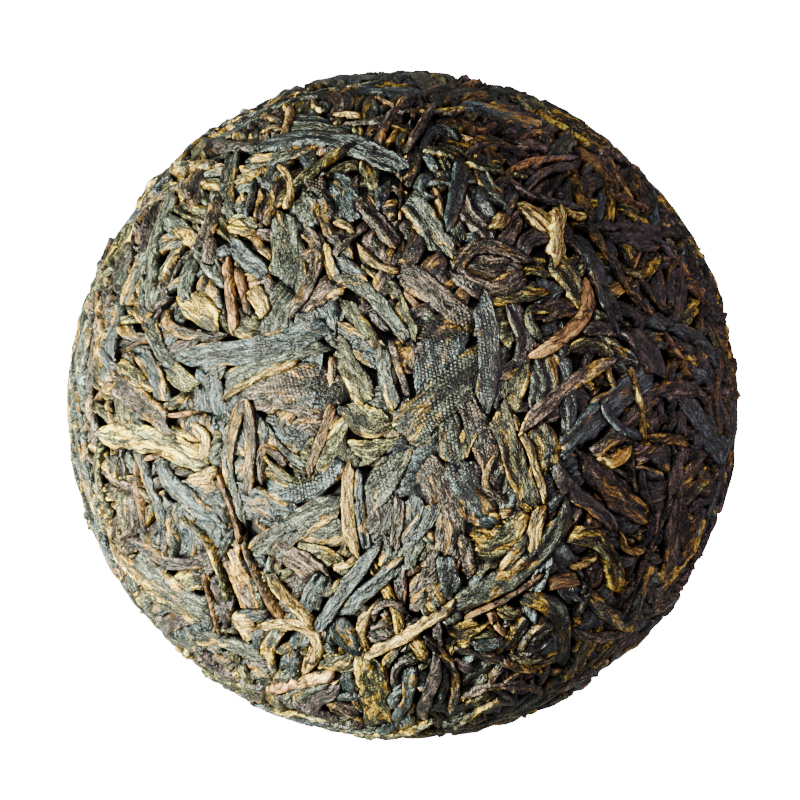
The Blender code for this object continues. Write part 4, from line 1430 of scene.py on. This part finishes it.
def leaf_material(kind):
    """The material of one kind of leaf."""
    material = bpy.data.materials.new(kind + "_leaf")
    material.use_nodes = True
    tree = material.node_tree
    nodes = Nodes(tree)
    shader = tree.nodes["Principled BSDF"]
    veins, colour, cloth = (tree.nodes.new("ShaderNodeGroup") for _ in range(3))
    veins.node_tree, colour.node_tree, cloth.node_tree = VEINS, LEAF_COLOUR, CLOTH
    veins.inputs["Fineness"].default_value = FINENESS.get(kind, 1.0)
    cloth.inputs["Pitch"].default_value = THREAD_PITCH
    colour.inputs["Contrast"].default_value = 1.0
    for name, value in FINISHES[kind].items():
        colour.inputs[name].default_value = (*value, 1.0) if isinstance(value, tuple) else value
    for output in veins.outputs:
        tree.links.new(output, colour.inputs[output.name])
    tree.links.new(cloth.outputs["Weave"], colour.inputs["Weave"])
    tree.links.new(cloth.outputs["Share"], colour.inputs["Print"])
    tree.links.new(colour.outputs["Color"], shader.inputs["Base Color"])
    roughness, specular = SHEEN.get(kind, DULL)
    shader.inputs["Roughness"].default_value = roughness
    shader.inputs["Specular IOR Level"].default_value = specular
    height = nodes.math("MULTIPLY", veins.outputs["Folds"], FOLD_HEIGHT)
    for name, strength in RELIEF.items():
        height = nodes.plus(height, veins.outputs[name], strength)
    calm = nodes.spread(cloth.outputs["Share"], 0.0, 1.0, 1.0, CALM_RELIEF)
    height = nodes.math("MULTIPLY", height, calm)
    weave = nodes.math("MULTIPLY", cloth.outputs["Share"], WEAVE_HEIGHT)
    height = nodes.math("ADD", height, nodes.math("MULTIPLY", cloth.outputs["Weave"], weave))
    bump = nodes.add("ShaderNodeBump", "Normal", {"Strength": 1.0, "Distance": MM, "Height": height})
    tree.links.new(bump, shader.inputs["Normal"])
    return material


for kind in KINDS:
    pieces[kind].data.materials.append(leaf_material(kind))
print(len(KINDS), "leaf materials")

# %% [markdown]
# The core is seen only through gaps, where the cake lies in deep shade and looks black. A plain
# dull near-black, which is painted shade, is all it needs.

# %% Colour the core
CORE_SHADE_COLOUR = (0.004, 0.003, 0.003, 1.0)
CORE_ROUGHNESS = 0.9
core_shade_material = bpy.data.materials.new("core")
core_shade_material.use_nodes = True
core_shader = core_shade_material.node_tree.nodes["Principled BSDF"]
core_shader.inputs["Base Color"].default_value = CORE_SHADE_COLOUR
core_shader.inputs["Roughness"].default_value = CORE_ROUGHNESS
pieces["core"].data.materials.append(core_shade_material)
print("core colour", CORE_SHADE_COLOUR[:3])

# %% [markdown]
# ## Handing the pieces over
#
# Nothing moves on a pressed cake, so every piece rides on the one body it has. Together they
# take the place of the plain solid that the frame shows.

# %% Hand the pieces to the frame
for piece in pieces.values():
    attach(piece, "root")
    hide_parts("tea_cake")
print(len(pieces), "pieces in place of the solid")

# %% [markdown]
# ## The table
#
# The cake lies on a plain white table that the lights alone would leave grey. The table shines
# only for the camera, so that it comes out white and yet throws no light up at the leaves.

# %% Lay the floor
FLOOR_SIZE = 4.0
FLOOR_GLOW = 20.0
FLOOR_COLOUR = (0.12, 0.12, 0.12, 1.0)
FLOOR_ROUGHNESS = 0.8
WHITE = (1.0, 1.0, 1.0, 1.0)
bpy.ops.mesh.primitive_plane_add(size=FLOOR_SIZE)
floor = bpy.context.object
floor.name = "floor"
floor_material = bpy.data.materials.new("white_table")
floor_material.use_nodes = True
floor_nodes = Nodes(floor_material.node_tree)
floor_shader = floor_material.node_tree.nodes["Principled BSDF"]
floor_shader.inputs["Base Color"].default_value = FLOOR_COLOUR
floor_shader.inputs["Roughness"].default_value = FLOOR_ROUGHNESS
floor_shader.inputs["Emission Color"].default_value = WHITE
seen = floor_nodes.add("ShaderNodeLightPath", "Is Camera Ray", {})
glow = floor_nodes.math("MULTIPLY", seen, FLOOR_GLOW)
floor_material.node_tree.links.new(glow, floor_shader.inputs["Emission Strength"])
floor.data.materials.append(floor_material)
floor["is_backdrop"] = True
print("floor", FLOOR_SIZE, "m wide")

# %% [markdown]
# ## The camera
#
# The camera looks straight down from as far away as the curve of the flanks suggests. Its lens
# follows from the size of the cake's outline in a picture of 800 pixels, leaves that stand out
# at the rim included, and a small step to the side puts the cake where it lies in that picture.

# %% Set up the camera
PICTURE = 800
OUTLINE_RADIUS_PX = 333.5
OUTLINE_CENTRE_PX = (402.5, 404.7)
LEAVES_STAND_OUT = 0.47 * MM
CAMERA_HEIGHT = 480.0 * MM
SENSOR_WIDTH = 36.0
to_waist = CAMERA_HEIGHT - WAIST_HEIGHT
metres_per_px = (RADIUS + LEAVES_STAND_OUT) / OUTLINE_RADIUS_PX
camera_data = bpy.data.cameras.new("camera")
camera_data.sensor_width = SENSOR_WIDTH
camera_data.lens = SENSOR_WIDTH * to_waist / (PICTURE * metres_per_px)
camera = bpy.data.objects.new("camera", camera_data)
camera.location = (
    (PICTURE / 2 - OUTLINE_CENTRE_PX[0]) * metres_per_px,
    (OUTLINE_CENTRE_PX[1] - PICTURE / 2) * metres_per_px,
    CAMERA_HEIGHT,
)
bpy.context.scene.collection.objects.link(camera)
bpy.context.scene.camera = camera
print("lens", round(camera_data.lens, 1), "mm")

# %% [markdown]
# ## The lights
#
# One soft light low on the left does nearly all the work: it rakes over the leaves, so that each
# wrinkle shows, and leaves the right flank dim. A weak one high up and a weak warm one from the
# right keep the shadows from going dead, as a pale room does.

# %% Place the lights
def soft_light(name, place, size, power, colour):
    """A square light at a place, aimed at the middle of the cake's foot."""
    data = bpy.data.lights.new(name, "AREA")
    data.shape = "SQUARE"
    data.size = size
    data.energy = power
    data.color = colour
    light = bpy.data.objects.new(name, data)
    light.location = place
    light.rotation_euler = (-Vector(place)).to_track_quat("-Z", "Y").to_euler()
    bpy.context.scene.collection.objects.link(light)
    print("light", name, power, "W")


soft_light("window", place=(-0.138, -0.03, 0.125), size=0.028, power=2.45, colour=(0.945, 1.0, 0.775))
soft_light("ceiling", place=(-0.2, 0.35, 0.85), size=0.3, power=2.8, colour=(0.97, 0.94, 1.0))
soft_light("wall", place=(0.36, 0.03, 0.10), size=0.25, power=0.75, colour=(0.94, 0.72, 0.80))
ROOM_COLOUR = (0.98, 0.90, 0.95, 1.0)
ROOM_STRENGTH = 0.22
world = bpy.data.worlds.new("room")
bpy.context.scene.world = world
world.use_nodes = True
room = world.node_tree.nodes["Background"]
room.inputs["Color"].default_value = ROOM_COLOUR
room.inputs["Strength"].default_value = ROOM_STRENGTH
print("room light", ROOM_STRENGTH)

# %% [markdown]
# ## Sizes
#
# At last the box around the finished leaves is set against the box of the frame, and how far the
# leaves stand out past it is printed. Leaves may stand a little proud of the frame, but no more.

# %% Measure the sizes and finish
made_box = [[float(value) for value in corner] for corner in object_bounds()]
outwards = [made - framed for made, framed in zip(made_box[1], frame_box[1])]
outwards += [framed - made for made, framed in zip(made_box[0], frame_box[0])]
print("stands proud by", round(max(outwards) / MM, 2), "mm at most")
